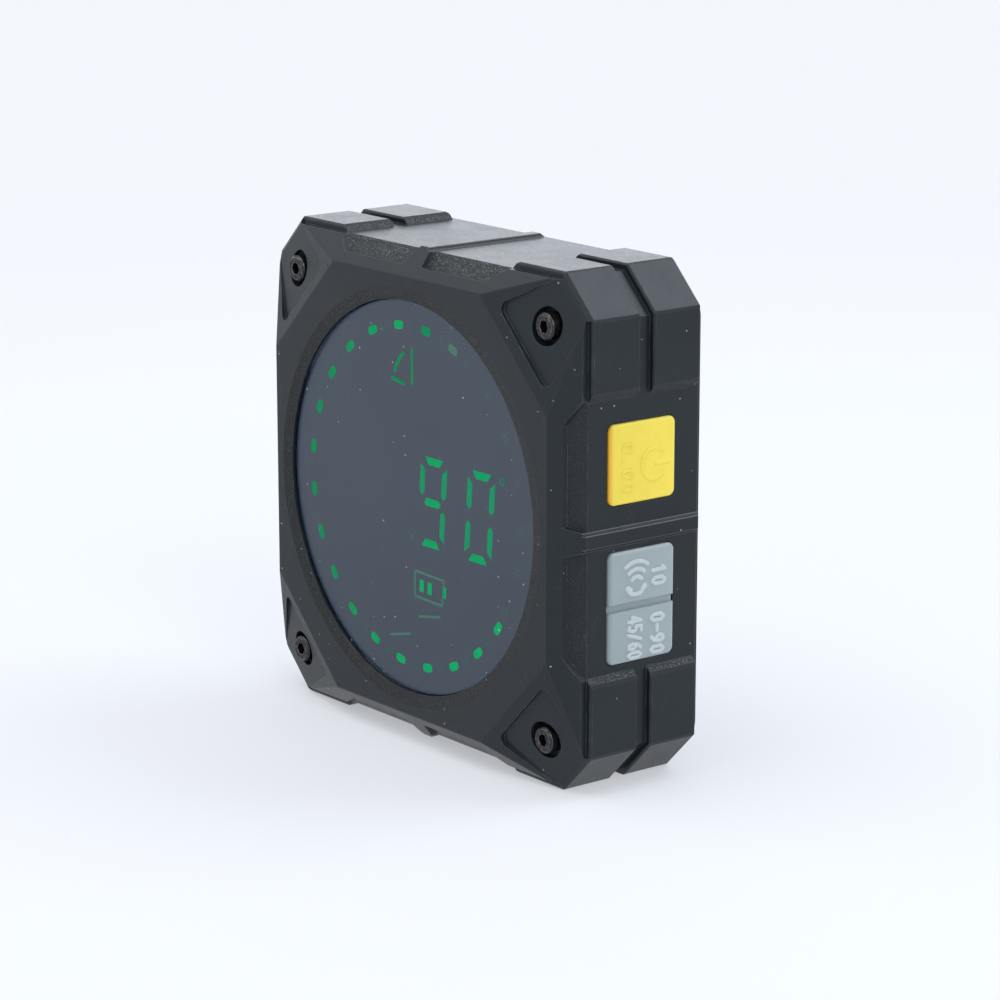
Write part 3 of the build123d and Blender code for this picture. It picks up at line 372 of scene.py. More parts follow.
def housing_material(name):
    """Satin charcoal plastic with spark-eroded panels and dish, dust, worn edges, and painted
    light: highlights along the edges, grain crests, end bevels, ribs and seam, and shade in the
    dish, pits and rib grooves.
    """
    n = Nodes(name)
    x, y, z = n.axes()[:3]
    side = n.math("ABSOLUTE", x)
    rise = n.math("ABSOLUTE", n.math("SUBTRACT", z, CENTRE_Z))
    far = n.math("MAXIMUM", side, rise)
    near_middle = n.math("MINIMUM", side, rise)
    depth = n.math("SUBTRACT", y, FRONT_Y)
    # Panel floors lie below the slope round the dial face
    slope = n.math("SUBTRACT", depth, PANEL_SUNK)
    floor_line = n.math("MULTIPLY_ADD", slope, SLOPE_RISE, SLOPE_START)
    on_floor = n.math("COMPARE", far, floor_line, 0.09)
    in_span = n.between(near_middle, *PANEL_SPAN)
    panel = n.math("MULTIPLY", on_floor, n.math("MULTIPLY", in_span, n.math("LESS_THAN", depth, 5)))
    # Dish round the window
    radius = n.distance(side, rise)
    dish = n.math("MULTIPLY", n.between(radius, *DISH_RADII), n.math("LESS_THAN", depth, 0.4))
    # Bevels at the bumpers' ends rise from the side face
    end_line = n.math("SUBTRACT", near_middle, BUMPER_START)
    end_line = n.math("MULTIPLY_ADD", end_line, BUMPER_RISE, SIDE_FACE)
    on_end = n.math("COMPARE", far, end_line, 0.08)
    bevel = n.math("MULTIPLY", on_end, n.between(far, 31.66, 32.26))
    # Flat of the back, inside a plain border with cut corners
    back = n.math("GREATER_THAN", depth, BACK_DEPTH - 0.03)
    back = n.math("MULTIPLY", back, n.math("LESS_THAN", far, 24.0))
    back = n.math("MULTIPLY", back, n.math("LESS_THAN", n.math("ADD", side, rise), 36.5))
    eroded = n.math("MAXIMUM", n.math("MAXIMUM", panel, bevel), dish)

    rounded, near_edge = n.edge_normal(0.16)
    slow = n.spread(n.noise(0.05, 3), 0.3, 0.7)
    smudge = n.spread(n.noise(0.3, 5, 0.6), 0.4, 0.8)
    base = n.mix(slow, (0.0088, 0.0138, 0.0188), (0.0122, 0.0180, 0.0235))
    # Painted highlight: paler colour along the sharp edges, broken up by noise
    edge_highlight = n.math("MULTIPLY", near_edge, n.spread(n.noise(0.9, 5), 0.35, 0.7, 0.15, 0.75))
    base = n.mix(edge_highlight, base, (0.055, 0.063, 0.073))
    in_patches = n.spread(n.noise(0.35, 5), 0.42, 0.66, 0.0, 0.5)
    worn = n.math("MULTIPLY", n.spread(near_edge, 0.3, 0.85), in_patches)
    base = n.mix(worn, base, (0.19, 0.20, 0.22))
    pits = n.noise(4.6, 3, 0.6)
    crest = n.spread(pits, 0.55, 0.66)
    # Painted light on the grain: highlights on its crests and shade in its pits, strongest on faces
    # that look up, where light falls along it
    geometry = n.tree.nodes.new("ShaderNodeNewGeometry")
    looks_up = n.spread(n.axes(geometry.outputs["Normal"])[2], 0.2, 0.6, 0.12, 1.0)
    painted_grain_light = n.math("MULTIPLY", n.math("MAXIMUM", panel, bevel), looks_up)
    painted_grain_light = n.math("MAXIMUM", painted_grain_light, n.math("MULTIPLY", dish, 0.22))
    # Painted highlight: the bumpers' end bevels, which look up, made paler
    base = n.mix(n.math("MULTIPLY", bevel, 0.8), base, (0.034, 0.040, 0.047))
    # Painted shade: the dish round the window made darker
    base = n.mix(n.math("MULTIPLY", dish, 0.75), base, (0.002, 0.003, 0.004))
    valley = n.spread(pits, 0.50, 0.40)
    # Painted shade in the grain's pits
    pit_shade = n.math("MULTIPLY", painted_grain_light, n.math("MULTIPLY", valley, 0.6))
    base = n.mix(pit_shade, base, (0.004, 0.005, 0.007))
    # Painted highlight on the grain's crests
    base = n.mix(n.math("MULTIPLY", painted_grain_light, crest), base, (0.17, 0.185, 0.20))
    scratches = n.hairlines()
    base = n.mix(n.math("MULTIPLY", scratches, 0.5), base, (0.07, 0.078, 0.088))
    dust = n.math("MULTIPLY", n.dust(2.1, 0.085, 0.022, 0.055), 0.8)
    base = n.mix(dust, base, (0.46, 0.48, 0.50))
    # Joint between the two mouldings: a dark line, and beside it a painted highlight for a lit edge
    offset = n.math("SUBTRACT", depth, SEAM_DEPTH)
    base = n.mix(n.math("COMPARE", offset, -0.12, 0.06), base, (0.055, 0.062, 0.070))
    base = n.mix(n.math("COMPARE", offset, 0.0, 0.06), base, (0.002, 0.002, 0.003))
    # A fine groove along each bevel of the ribs, cut in by the bump, with painted shade in it and
    # two painted highlight lines beside it
    on_rib = n.between(far, 31.62, 32.06)
    beside_groove = n.math("ABSOLUTE", n.math("SUBTRACT", near_middle, RIB_EDGE))
    groove = n.math("MULTIPLY", n.spread(beside_groove, 0.05, 0.12, 1.0, 0.0, smooth=True), on_rib)
    lines = n.math("MULTIPLY", n.math("COMPARE", beside_groove, 0.18, 0.06), on_rib)
    # Painted highlight lines, then painted shade in the groove
    base = n.mix(n.math("MULTIPLY", lines, 0.6), base, (0.12, 0.13, 0.14))
    base = n.mix(groove, base, (0.001, 0.001, 0.002))
    n.set(Base_Color=base)

    uneven = n.spread(n.noise(1.7, 4), 0.3, 0.7, 0.34, 0.40)
    plain_roughness = n.math("MULTIPLY_ADD", smudge, 0.05, uneven)
    grain_roughness = n.spread(crest, 0.0, 1.0, 0.42, 0.26)
    n.set(Roughness=n.mix_numbers(eroded, plain_roughness, grain_roughness))
    n.set(Specular_IOR_Level=0.31)

    fine = n.bump(n.noise(11, 3, 0.6), 0.0035, rounded)
    # Spark-eroded grain, with pits about a fifth of a millimetre wide
    grained = n.bump(n.math("MULTIPLY", pits, eroded), 0.17, fine)
    grained = n.bump(n.math("MULTIPLY", n.noise(7, 3, 0.6), back), 0.06, grained)
    n.set(Normal=n.bump(n.math("SUBTRACT", 1.0, groove), 0.12, grained))
    return n.material


def screw_material(name):
    """Black steel with a mottled film of oil and bright worn edges."""
    n = Nodes(name)
    rounded, near = n.edge_normal(0.12)
    mottled = n.spread(n.noise(2.6, 5, 0.65), 0.38, 0.66)
    base = n.mix(mottled, (0.016, 0.016, 0.017), (0.085, 0.085, 0.086))
    worn = n.math("MULTIPLY", near, n.spread(n.noise(1.6, 4), 0.35, 0.65, 0.35, 1.0))
    n.set(Base_Color=n.mix(worn, base, (0.30, 0.30, 0.31)))
    n.set(Metallic=0.9)
    n.set(Roughness=n.spread(mottled, 0.0, 1.0, 0.42, 0.26))
    n.set(Normal=n.bump(n.noise(5, 4, 0.6), 0.02, rounded))
    return n.material


def key_material(name, colour, front_rim_shade, back_rim_highlight, size):
    """Satin moulded key with painted light: painted shade along its front rim, painted highlights
    along its back and upper rims.

    size: half its depth, half its height, and its middle above the case's middle.
    """
    n = Nodes(name)
    half_y, half_z, middle_z = size
    y, z = n.axes()[1:3]
    across = n.math("SUBTRACT", y, KEY_MIDDLE_Y)
    rounded, near = n.edge_normal(0.3)
    soft = varied(n, colour, 0.03, 0.35)
    # Painted shade along the front rim, and painted highlights along the back and upper rims
    front = n.spread(across, 0.78 - half_y, 0.12 - half_y, 0.0, 0.85, smooth=True)
    back = n.spread(across, half_y - 0.4, half_y - 0.05, 0.0, 0.8, smooth=True)
    rise = n.math("SUBTRACT", z, CENTRE_Z + middle_z)
    upper = n.spread(rise, half_z - 0.5, half_z - 0.05, 0.0, 0.5, smooth=True)
    # Painted shade: the key darker towards its front
    shade = n.spread(across, -half_y, half_y, 0.30, 0.0)
    soft = n.mix(shade, soft, tuple(c * 0.72 for c in colour))
    base = n.mix(front, n.mix(n.math("MAXIMUM", back, upper), soft, back_rim_highlight), front_rim_shade)
    base = n.mix(n.math("MULTIPLY", n.dust(2.0, 0.06, 0.02, 0.04), 0.5), base, (0.2, 0.2, 0.2))
    n.set(Base_Color=base)
    n.set(Roughness=n.spread(n.noise(0.6, 5), 0.3, 0.7, 0.36, 0.46))
    n.set(Normal=n.bump(n.noise(9, 4, 0.6), 0.006, rounded))
    n.set(Specular_IOR_Level=0.42)
    return n.material


def window_material(name):
    """Smoked clear window: faint tint, slightly uneven polish, and dust on its front."""
    n = Nodes(name)
    depth = n.math("SUBTRACT", n.axes()[1], FRONT_Y)
    on_front = n.math("LESS_THAN", depth, 1.0)
    dust = n.math("MULTIPLY", n.dust(2.4, 0.16, 0.022, 0.05), on_front)
    haze = n.spread(n.noise(0.12, 4), 0.3, 0.75)
    tint = n.mix(haze, (0.88, 0.89, 0.90), (0.82, 0.84, 0.86))
    n.set(Base_Color=n.mix(dust, tint, (0.55, 0.57, 0.60)))
    n.set(Transmission_Weight=n.math("SUBTRACT", 1.0, n.math("MULTIPLY", dust, 0.9)))
    n.set(Roughness=0.0, IOR=1.15, Specular_IOR_Level=0.1, Specular_Tint=(0.12, 0.13, 0.14))
    n.set(Normal=n.bump(n.noise(0.07, 1), 0.002))
    return n.material


# Colour of the lit marks, and of the film's glow: a little backlight let through, with painted glow
# in place of the film's own lit tone
LIT = (0.0, 0.42, 0.128)
BACKLIGHT_AND_PAINTED_GLOW = (0.0115, 0.0245, 0.0465)


def dark_glass(n):
    """Look of the dark display glass, shared with the marks that don't shine much."""
    slow = n.spread(n.noise(0.05, 3), 0.3, 0.7)
    n.set(Base_Color=n.mix(slow, (0.0015, 0.003, 0.005), (0.0025, 0.0045, 0.0065)))
    n.set(Roughness=n.spread(n.noise(0.8, 4), 0.3, 0.7, 0.29, 0.34))
    n.set(IOR=1.5, Specular_IOR_Level=0.95)
    n.set(Normal=n.bump(n.noise(0.06, 1), 0.003))


def display_material(name):
    """Dark display glass under the window."""
    n = Nodes(name)
    dark_glass(n)
    return n.material


def film_material(name):
    """Smoked film over the lit display, glowing with a little cold backlight let through and with
    painted glow in place of its own lit tone.
    """
    n = Nodes(name)
    dark_glass(n)
    uneven = n.spread(n.noise(0.06, 2), 0.3, 0.7, 0.9, 1.1)
    # Painted glow: emission in place of the film's lit tone, with a little backlight
    n.set(Emission_Color=BACKLIGHT_AND_PAINTED_GLOW, Emission_Strength=uneven)
    return n.material


def lit_material(name, strength, fade_left, glossy=False, between=0.3):
    """Lit display mark: uneven backlight that falls off towards the left of the dial."""
    n = Nodes(name)
    fall = n.spread(n.axes()[0], -24.0, 2.0, fade_left, 1.0, smooth=True)
    mottled = n.spread(n.noise(1.2, 3), 0.3, 0.7, 0.9, 1.05)
    if glossy:
        dark_glass(n)
    else:
        n.set(Base_Color=n.mix(n.noise(3, 2), (0.0, 0.008, 0.004), (0.0, 0.014, 0.007)))
        n.set(Roughness=n.spread(n.noise(4, 2), 0.3, 0.7, 0.75, 0.9), Specular_IOR_Level=0.0)
    level = n.math("MULTIPLY", n.math("MULTIPLY", fall, mottled), strength)
    # A share of the film's glow, backlight and painted glow, shows through the marks too, in full
    # through the faint ones
    total = n.tree.nodes.new("ShaderNodeVectorMath")
    total.operation = "MULTIPLY_ADD"
    total.inputs[0].default_value = LIT
    n.link(level, total.inputs[1])
    total.inputs[2].default_value = tuple(part * between for part in BACKLIGHT_AND_PAINTED_GLOW)
    n.set(Emission_Color=total.outputs[0], Emission_Strength=1.0)
    return n.material


def board_material(name):
    """Green solder mask over copper tracks."""
    n = Nodes(name)
    line = n.spread(n.cell_borders(0.9), 0.05, 0.09, 1.0, 0.0)
    weave = n.noise(3, 3)
    base = n.mix(n.spread(weave, 0.3, 0.7), (0.008, 0.075, 0.03), (0.012, 0.1, 0.042))
    n.set(Base_Color=n.mix(n.math("MULTIPLY", line, 0.6), base, (0.03, 0.19, 0.07)))
    n.set(Roughness=n.spread(weave, 0.3, 0.7, 0.28, 0.4))
    n.set(Normal=n.bump(line, 0.03))
    return n.material


MATERIALS = {
    "main_housing": housing_material("housing_plastic"),
    "rear_cover": housing_material("cover_plastic"),
    "housing_seal": moulded("seal_rubber", (0.02, 0.02, 0.021), 0.7, 0.02),
    "cover_screws": screw_material("black_steel"),
    "threaded_inserts": metal("brass", (0.62, 0.42, 0.16), 0.28, (0.3, 3, 0.3)),
    "base_magnets": metal("magnet_plating", (0.62, 0.61, 0.6), 0.16, (1, 1, 1), 0.003),
    "display_window": window_material("window_plastic"),
    "window_adhesive": display_material("black_adhesive"),
    "display_panel": display_material("display_glass"),
    "diffuser_sheet": moulded("diffuser_white", (0.75, 0.76, 0.76), 0.5),
    "light_guide": moulded("guide_clear", (0.7, 0.76, 0.76), 0.12, 0.003),
    "contact_strip": moulded("strip_rubber", (0.6, 0.28, 0.3), 0.6),
    "display_holder": moulded("holder_white", (0.72, 0.72, 0.7), 0.5),
    "backlight_leds": moulded("led_package", (0.75, 0.7, 0.42), 0.25),
    "main_board": board_material("board_laminate"),
    "key_board": board_material("key_board_laminate"),
    "board_screws": metal("zinc_steel", (0.58, 0.58, 0.6), 0.3, (1, 0.2, 1)),
    "microcontroller": moulded("chip_plastic", (0.016, 0.016, 0.018), 0.55, 0.02),
    "tilt_sensor": moulded("sensor_package", (0.022, 0.022, 0.025), 0.4),
    "voice_chip": moulded("voice_chip_plastic", (0.016, 0.016, 0.018), 0.55, 0.02),
    "speaker": metal("speaker_can", (0.48, 0.48, 0.5), 0.35, (2, 0.2, 2)),
    "battery_cell": metal("battery_foil", (0.55, 0.57, 0.6), 0.42, (1, 1, 0.2), 0.02),
    "battery_pad": moulded("foam_pad", (0.02, 0.02, 0.02), 0.9, 0.15),
    "charging_port": metal("port_steel", (0.6, 0.6, 0.62), 0.25, (1, 0.3, 0.3)),
    "port_tongue": moulded("port_tongue_plastic", (0.015, 0.015, 0.017), 0.45),
    "key_header": moulded("header_plastic", (0.018, 0.018, 0.018), 0.45),
    "key_switches": moulded("switch_plastic", (0.035, 0.035, 0.036), 0.45),
    "zero_plunger": moulded("plunger_plastic", (0.66, 0.63, 0.56), 0.4),
    "voice_plunger": moulded("voice_plunger_plastic", (0.66, 0.63, 0.56), 0.4),
    "hold_plunger": moulded("hold_plunger_plastic", (0.66, 0.63, 0.56), 0.4),
    "zero_key": key_material("yellow_key", (0.91, 0.73, 0.085), (0.80, 0.41, 0.02),
                             (0.92, 0.78, 0.15), (5.225, 5.025, KEY_OFFSET)),
    "rocker_key": key_material("grey_key", (0.335, 0.395, 0.415), (0.235, 0.285, 0.31),
                               (0.52, 0.57, 0.57), (5.225, 7.075, -KEY_OFFSET)),
    "rocker_pin": metal("pin_steel", (0.6, 0.6, 0.62), 0.22, (3, 0.2, 3)),
}
for node, material in MATERIALS.items():
    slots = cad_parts[node].material_slots
    if not slots:
        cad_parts[node].data.materials.append(material)
    for slot in slots:
        slot.material = material


# ---- marks of the lit display, thin plates just in front of the film

MARK_SHIFT = 0.517       # the marks' middle, beside the window's
MARK_RISE = 0.156        # and above it
MARK_STRETCH = 1.006
MARK_LOW = 0.012         # front of the film to the marks' two faces
MARK_HIGH = 0.032


def on_dial(x, z, lift):
    """Point on the dial from its place beside and above the marks' middle."""
    y = FRONT_Y + FILM_DEPTH - lift
    return Vector((x + MARK_SHIFT, y, CENTRE_Z + MARK_RISE + MARK_STRETCH * z))


def line_outline(start, end, half_width):
    """Outline of a straight line with square ends."""
    (x0, z0), (x1, z1) = start, end
    length = math.hypot(x1 - x0, z1 - z0)
    nx, nz = -(z1 - z0) / length * half_width, (x1 - x0) / length * half_width
    return [(x0 + nx, z0 + nz), (x1 + nx, z1 + nz), (x1 - nx, z1 - nz), (x0 - nx, z0 - nz)]


def band_outline(points, half_width):
    """Outline of a thin curved band along points."""
    left, right = [], []
    for i, (x, z) in enumerate(points):
        x0, z0 = points[max(i - 1, 0)]
        x1, z1 = points[min(i + 1, len(points) - 1)]
        length = math.hypot(x1 - x0, z1 - z0)
        nx, nz = -(z1 - z0) / length * half_width, (x1 - x0) / length * half_width
        left.append((x + nx, z + nz))
        right.append((x - nx, z - nz))
    return left + right[::-1]


SLANT = 0.08
SEGMENT = 0.5                    # half the width of a segment
DIGIT_HALF = 2.25                # middle of a digit to its upright segments
DIGIT_RISE = 5.32                # middle of a digit to its top and bottom segments
UPRIGHT_LOW, UPRIGHT_HIGH = 0.74, 4.64
BAR_OUTER, BAR_INNER = 1.85, 1.06
MIDDLE_OUTER, MIDDLE_INNER = 1.68, 1.28


def segment(centre, name):
    """Outline of one segment of a figure on the dial."""
    low, high, w = UPRIGHT_LOW, UPRIGHT_HIGH, SEGMENT
    if name in ("top", "bottom"):
        s = 1 if name == "top" else -1
        points = [(-BAR_OUTER, s * (DIGIT_RISE + w)), (BAR_OUTER, s * (DIGIT_RISE + w)),
                  (BAR_INNER, s * (DIGIT_RISE - w)), (-BAR_INNER, s * (DIGIT_RISE - w))]
    elif name == "middle":
        points = [(-MIDDLE_OUTER, 0), (-MIDDLE_INNER, w), (MIDDLE_INNER, w),
                  (MIDDLE_OUTER, 0), (MIDDLE_INNER, -w), (-MIDDLE_INNER, -w)]
    else:
        side = -1 if "left" in name else 1
        s = 1 if "upper" in name else -1
        points = [(side * (DIGIT_HALF + w), s * (high + 0.25)),
                  (side * (DIGIT_HALF - w), s * (high - 0.6)),
                  (side * (DIGIT_HALF - w), s * (low + 0.45)),
                  (side * DIGIT_HALF, s * low),
                  (side * (DIGIT_HALF + w), s * (low + 0.5))]
    return [(centre + x + SLANT * z, z) for x, z in points]


def build_marks(name, material, outlines):
    """One piece of several thin marks, in one material."""
    bm = bmesh.new()
    for outline in outlines:
        add_plate(bm, outline, on_dial, MARK_LOW, MARK_HIGH)
    bmesh.ops.recalc_face_normals(bm, faces=bm.faces)
    obj = mesh_object(name, bm, material, smooth=False)
    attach(obj, "case")


lit = lit_material("lit_dots", 0.93, 0.62)
lit_bars = lit_material("lit_segments", 0.86, 0.6)
lit_uprights = lit_material("lit_uprights", 0.64, 0.6, between=1.0)
lit_soft = lit_material("lit_signs", 0.62, 0.55)
half_lit = lit_material("half_lit_marks", 0.24, 0.7, True, 1.0)
unlit = lit_material("unlit_marks", 0.15, 0.4, True, 1.0)

# The uprights shine less than the bars across
NINE = ("top", "upper left", "upper right", "middle", "lower right", "bottom")
ZERO = ("top", "upper left", "upper right", "lower left", "lower right", "bottom")
NINE_X, ZERO_X = 4.03, 13.74
figures = [(NINE_X, part) for part in NINE] + [(ZERO_X, part) for part in ZERO]
build_marks("dial_figures", lit_bars, [segment(x, part) for x, part in figures if " " not in part])
build_marks("dial_uprights", lit_uprights, [segment(x, part) for x, part in figures if " " in part])

# Film across the whole window, with a thin bevelled rim
FILM_PROFILE = [(12.0, 0.0), (24.95, 0.0), (25.25, 0.015),
                (25.36, 0.05), (25.36, 0.09), (12.0, 0.09)]
FILM_STEPS = 144
bm = bmesh.new()
turns = [math.tau * i / FILM_STEPS for i in range(FILM_STEPS)]
rings = []
for radius, drop in FILM_PROFILE:
    y = FRONT_Y + FILM_DEPTH + drop
    rings.append([bm.verts.new((radius * math.cos(turn), y, CENTRE_Z + radius * math.sin(turn)))
                  for turn in turns])
for a, b in zip(rings, rings[1:]):
    for i in range(FILM_STEPS):
        j = (i + 1) % FILM_STEPS
        bm.faces.new((a[i], a[j], b[j], b[i]))
bm.faces.new(rings[0])
bm.faces.new(rings[-1][::-1])
bmesh.ops.recalc_face_normals(bm, faces=bm.faces)
film = mesh_object("dial_film", bm, film_material("smoked_film"), smooth=False)
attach(film, "case")

# Bars along a ring, from the upper right round the left to the lower right
DOT_RING = 21.93
DOT_COUNT = 18
DOT_PITCH = 15           # degrees
DOT_START = 67.5
DOT_LONG, DOT_WIDE = 0.95, 0.56
dots = []
for step in range(DOT_COUNT):
    turn = math.radians(DOT_START + DOT_PITCH * step)
    cx, cz = DOT_RING * math.cos(turn), DOT_RING * math.sin(turn)
    outline = []
    for i in range(20):
        a = math.tau * i / 20
        # A rounded bar: a circle squared off, long side along the ring
        u = math.copysign(abs(math.cos(a)) ** 0.6, math.cos(a)) * DOT_LONG
        v = math.copysign(abs(math.sin(a)) ** 0.6, math.sin(a)) * DOT_WIDE
        outline.append((cx - math.sin(turn) * u + math.cos(turn) * v,
                        cz + math.cos(turn) * u + math.sin(turn) * v))
    dots.append(outline)
build_marks("dial_dots", lit, dots[2:])
build_marks("dial_first_dot", half_lit, dots[:1])
build_marks("dial_second_dot", lit_soft, dots[1:2])

# Degree ring and angle sign
degree_turns = [math.tau * i / 14 + 0.1 for i in range(14)]
signs = [band_outline([(18.22 + 0.42 * math.cos(turn), 5.4 + 0.42 * math.sin(turn))
                       for turn in degree_turns], 0.075)]
signs.append(line_outline((-0.1, 19.2), (-0.1, 14.5), 0.2))
angle_arc = [(-1.8, 18.3), (-2.5, 17.75), (-3.1, 17.05), (-3.55, 16.3), (-3.8, 15.5)]
signs.append(band_outline(angle_arc, 0.24))
signs.append(line_outline((-4.45, 14.74), (-1.75, 14.35), 0.24))
build_marks("dial_signs", lit_soft, signs)

# Battery sign: a thin outline with bright bars in it, and two dashes under it
BATTERY_BARS = [((1.75, -10.4), (1.65, -11.95), 0.42), ((3.42, -10.45), (3.34, -12.0), 0.42),
                ((6.5, -10.4), (6.42, -11.85), 0.34)]
battery = [(0.36, -9.43), (6.4, -9.58), (5.99, -12.93), (0.22, -12.76)]
outline_lines = [line_outline(a, b, 0.17) for a, b in zip(battery, battery[1:] + battery[:1])]
outline_lines.append(line_outline((0.99, -15.33), (5.59, -14.46), 0.16))
outline_lines.append(line_outline((-5.11, -19.04), (-0.7, -17.98), 0.16))
build_marks("dial_outlines", half_lit, outline_lines)
build_marks("dial_battery_bars", lit, [line_outline(*bar) for bar in BATTERY_BARS])

# An unlit point, and small plain angles between the dots
point_turns = [math.tau * i / 12 for i in range(12)]
faint = [[(-0.28 + 0.32 * math.cos(turn), -5.22 + 0.32 * math.sin(turn)) for turn in point_turns]]
SMALL_HEIGHT, SMALL_WIDTH, SMALL_PITCH = 0.95, 0.42, 0.56
for step in range(360 // DOT_PITCH):
    turn = DOT_PITCH * step
    a = math.radians(turn)
    text = str((90 - turn) % 360)
    width = SMALL_PITCH * len(text)
    for line in figure_strokes(text, SMALL_HEIGHT, SMALL_WIDTH, SMALL_PITCH):
        for p, q in zip(line, line[1:]):
            ends = []
            for gx, gy in (p, q):
                u, v = gx - width / 2, gy - 0.48
                ends.append((DOT_RING * math.cos(a) + math.sin(a) * u + math.cos(a) * v,
                             DOT_RING * math.sin(a) - math.cos(a) * u + math.sin(a) * v))
            if math.dist(*ends) > 0.01:
                faint.append(line_outline(ends[0], ends[1], 0.045))
build_marks("dial_ring_figures", unlit, faint)


# ---- raised signs on the keys, turned a quarter to read downwards

def on_key(y, z, up):
    """Point on the keys' face, at a height over it."""
    return Vector((KEY_FACE_X + up, KEY_MIDDLE_Y + y, CENTRE_Z + z))


def key_figures(bm, text, base_y, start_z, height, width, pitch, half_width, relief):
    """A row of figures that starts at start_z and reads downwards."""
    for line in figure_strokes(text, height, width, pitch):
        points = [(base_y + gy, start_z - gx) for gx, gy in line]
        add_stroke(bm, points, half_width, relief, on_key)


# Power sign and a row of figures on the yellow key
POWER_LINE, POWER_RELIEF = 0.34, 0.13
bm = bmesh.new()
add_stroke(bm, arc(1.9, 8.5, 1.95, 42, 318, 22), POWER_LINE, POWER_RELIEF, on_key)
add_stroke(bm, [(2.1, 8.5), (4.15, 8.5)], POWER_LINE, POWER_RELIEF, on_key)
key_figures(bm, "0.00", -3.15, 11.5, 1.75, 1.15, 1.62, 0.26, 0.12)
zero_signs = mesh_object("zero_key_signs", bm, MATERIALS["zero_key"])
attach(zero_signs, "zero_key")

# Sound sign and figures on the grey key, which stand out further, painted paler than the key as a
# highlight
SIGN_LINE, SIGN_RELIEF = 0.3, 0.2
sign_grey_highlight = moulded("grey_key_signs_painted_light", (0.50, 0.56, 0.575), 0.4, 0.004, 0.1, 0.04)
bm = bmesh.new()
for radius, half_angle in ((2.95, 36), (1.98, 38), (1.02, 46)):
    wave = arc(-0.82, -6.4, radius, 90 - half_angle, 90 + half_angle, 9)
    add_stroke(bm, wave, SIGN_LINE, SIGN_RELIEF, on_key)
mouthpiece = [(-2.12, -6.85), (-2.0, -7.22), (-1.55, -7.5), (-0.8, -7.62),
              (-0.2, -7.5), (0.12, -7.15), (0.42, -6.8)]
add_stroke(bm, mouthpiece, SIGN_LINE, SIGN_RELIEF, on_key)
add_stroke(bm, [(-2.2, -6.75), (-1.8, -7.0)], 0.4, SIGN_RELIEF, on_key)
add_stroke(bm, [(0.5, -6.7), (0.2, -7.0)], 0.38, SIGN_RELIEF, on_key)
# Two plain figures above the groove, and two rows below it
key_figures(bm, "10", 1.72, -4.45, 2.0, 1.0, 1.42, 0.28, SIGN_RELIEF)
key_figures(bm, "0-90", 1.55, -10.55, 2.0, 1.0, 1.36, 0.28, SIGN_RELIEF)
key_figures(bm, "45/60", -2.05, -10.4, 2.0, 0.86, 1.12, 0.26, SIGN_RELIEF)
rocker_signs = mesh_object("rocker_key_signs", bm, sign_grey_highlight)
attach(rocker_signs, "rocker_key")


# ---- floor, light and camera

# Distances from the object over which the floor's two changes run
SHADOW_FADE = (120.0, 520.0)
REFLECTION_SHADOW_FADE = (25.0, 140.0)


def floor_material():
    """Pale seamless floor; the camera and reflections see it almost white, with its shadow kept,
    and reflections see a painted shadow near the object.
    """
    n = Nodes("pale_floor")
    tone = n.mix(n.spread(n.noise(0.004, 3), 0.3, 0.7), (0.835, 0.86, 0.905), (0.865, 0.885, 0.93))
    n.set(Base_Color=tone, Roughness=0.85, Specular_IOR_Level=0.0)
    n.set(Normal=n.bump(n.noise(0.8, 3), 0.004))
    path = n.tree.nodes.new("ShaderNodeLightPath")
    seen = n.math("MAXIMUM", path.outputs["Is Camera Ray"], path.outputs["Is Glossy Ray"])
    seen = n.math("MAXIMUM", seen, path.outputs["Is Transmission Ray"])
    glow = n.tree.nodes.new("ShaderNodeEmission")
    glow.inputs["Color"].default_value = (0.905, 0.930, 0.982, 1)
    blend = n.tree.nodes.new("ShaderNodeMixShader")
    x, y = n.axes()[:2]
    away = n.distance(x, y)
    # Near the object the floor keeps its shadow; far off it is the backdrop's plain tone
    share = n.spread(away, *SHADOW_FADE, 0.45, 1.0, smooth=True)
    share = n.mix_numbers(path.outputs["Is Camera Ray"], 1.0, share)
    n.put(n.math("MULTIPLY", seen, share), blend.inputs[0])
    # Painted shadow: reflections see the floor dimmer where the object stands
    painted_reflection_shadow = n.spread(away, *REFLECTION_SHADOW_FADE, 0.84, 1.0, smooth=True)
    n.put(n.mix_numbers(path.outputs["Is Camera Ray"], painted_reflection_shadow, 1.0), glow.inputs["Strength"])
    n.link(n.shader.outputs[0], blend.inputs[1])
    n.link(glow.outputs[0], blend.inputs[2])
    n.link(blend.outputs[0], n.output.inputs[0])
    return n.material


FLOOR_HALF = 4000
bm = bmesh.new()
bmesh.ops.create_grid(bm, x_segments=12, y_segments=12, size=FLOOR_HALF)
floor = mesh_object("floor", bm, floor_material(), smooth=False)

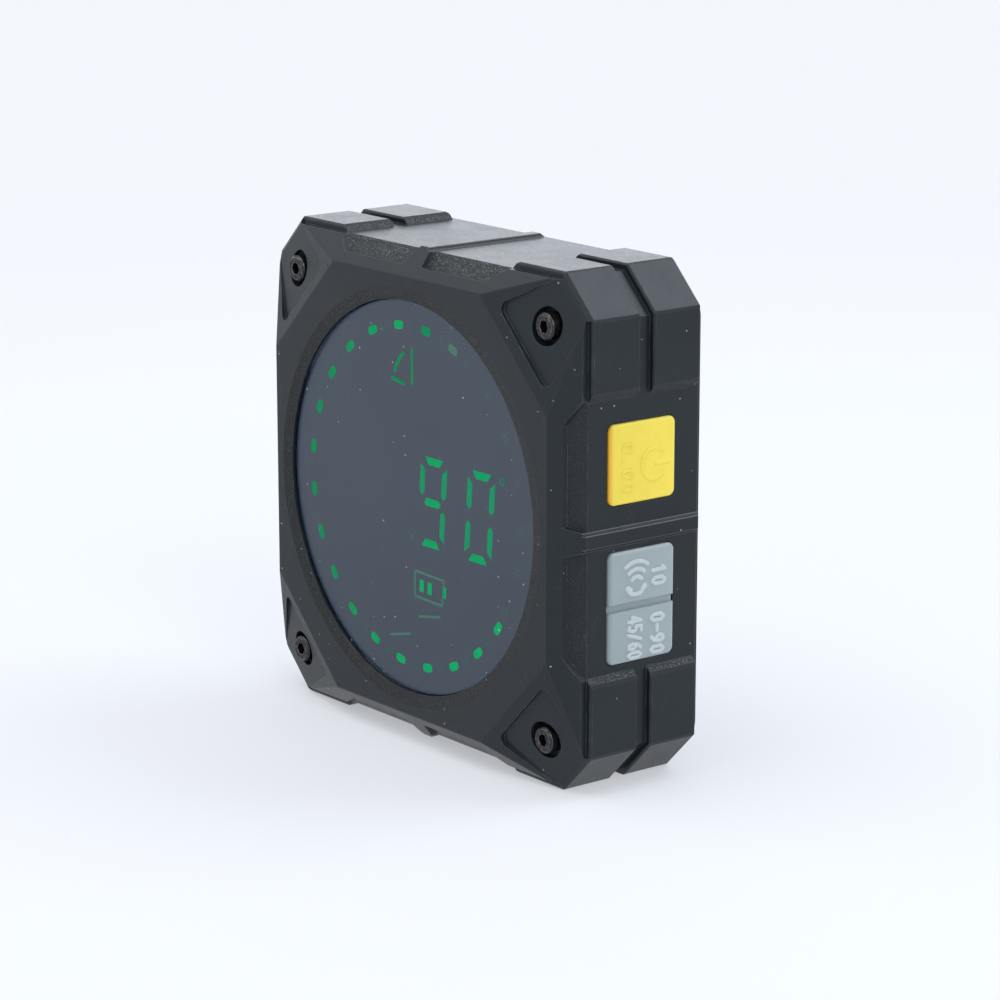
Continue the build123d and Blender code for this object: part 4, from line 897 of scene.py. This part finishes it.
# Strength of the world as a light, and as the camera and reflections see it
WORLD_LIGHT = 0.58
WORLD_SEEN = 0.97
world = bpy.data.worlds.new("studio")
bpy.context.scene.world = world
world.use_nodes = True
tree = world.node_tree
background = tree.nodes["Background"]
background.inputs["Color"].default_value = (0.95, 0.97, 1.0, 1)
path = tree.nodes.new("ShaderNodeLightPath")
seen = tree.nodes.new("ShaderNodeMath")
seen.operation = "MAXIMUM"
tree.links.new(path.outputs["Is Camera Ray"], seen.inputs[0])
tree.links.new(path.outputs["Is Glossy Ray"], seen.inputs[1])
also = tree.nodes.new("ShaderNodeMath")
also.operation = "MAXIMUM"
tree.links.new(seen.outputs[0], also.inputs[0])
tree.links.new(path.outputs["Is Transmission Ray"], also.inputs[1])
strength = tree.nodes.new("ShaderNodeMapRange")
strength.inputs["To Min"].default_value = WORLD_LIGHT
strength.inputs["To Max"].default_value = WORLD_SEEN
tree.links.new(also.outputs[0], strength.inputs["Value"])
tree.links.new(strength.outputs[0], background.inputs["Strength"])


LAMP_TARGET = Vector((0, 0, 32)) * MM


def lamp(name, position, size, energy, colour=(1, 1, 1)):
    """A soft lamp that points at the object; position and size in millimetres."""
    data = bpy.data.lights.new(name, "AREA")
    data.shape = "RECTANGLE"
    data.size, data.size_y = size[0] * MM, size[1] * MM
    data.energy = energy
    data.color = colour
    obj = bpy.data.objects.new(name, data)
    obj.location = Vector(position) * MM
    aim = LAMP_TARGET - obj.location
    obj.rotation_euler = aim.to_track_quat("-Z", "Y").to_euler()
    obj.visible_camera = False
    bpy.context.scene.collection.objects.link(obj)


lamp("overhead_lamp", (-250, -350, 900), (900, 700), 3.35)
lamp("rear_lamp", (-900, 720, 330), (1000, 420), 2.75, (0.85, 0.905, 1.0))
lamp("upper_rear_lamp", (260, 640, 830), (620, 620), 3.85, (0.83, 0.915, 1.0))
lamp("side_lamp", (800, -260, 560), (480, 480), 2.4)

# Camera fitted to the photograph's corners
CAMERA_PLACE = Vector((344.2, -267.4, 136.5)) * MM
camera_data = bpy.data.cameras.new("camera")
camera = bpy.data.objects.new("camera", camera_data)
bpy.context.scene.collection.objects.link(camera)
camera_data.sensor_width = 36.0
camera_data.lens = 125.1
camera_data.clip_start = 0.01
camera_data.clip_end = 20.0
forward = Vector((-0.7639, 0.6006, -0.2362)).normalized()
right = Vector((0.6181, 0.7861, -0.0001)).normalized()
up = right.cross(forward)
camera.matrix_world = Matrix((
    (right.x, up.x, -forward.x, CAMERA_PLACE.x),
    (right.y, up.y, -forward.y, CAMERA_PLACE.y),
    (right.z, up.z, -forward.z, CAMERA_PLACE.z),
    (0, 0, 0, 1),
))
bpy.context.scene.camera = camera
bpy.context.scene.view_settings.view_transform = "Standard"
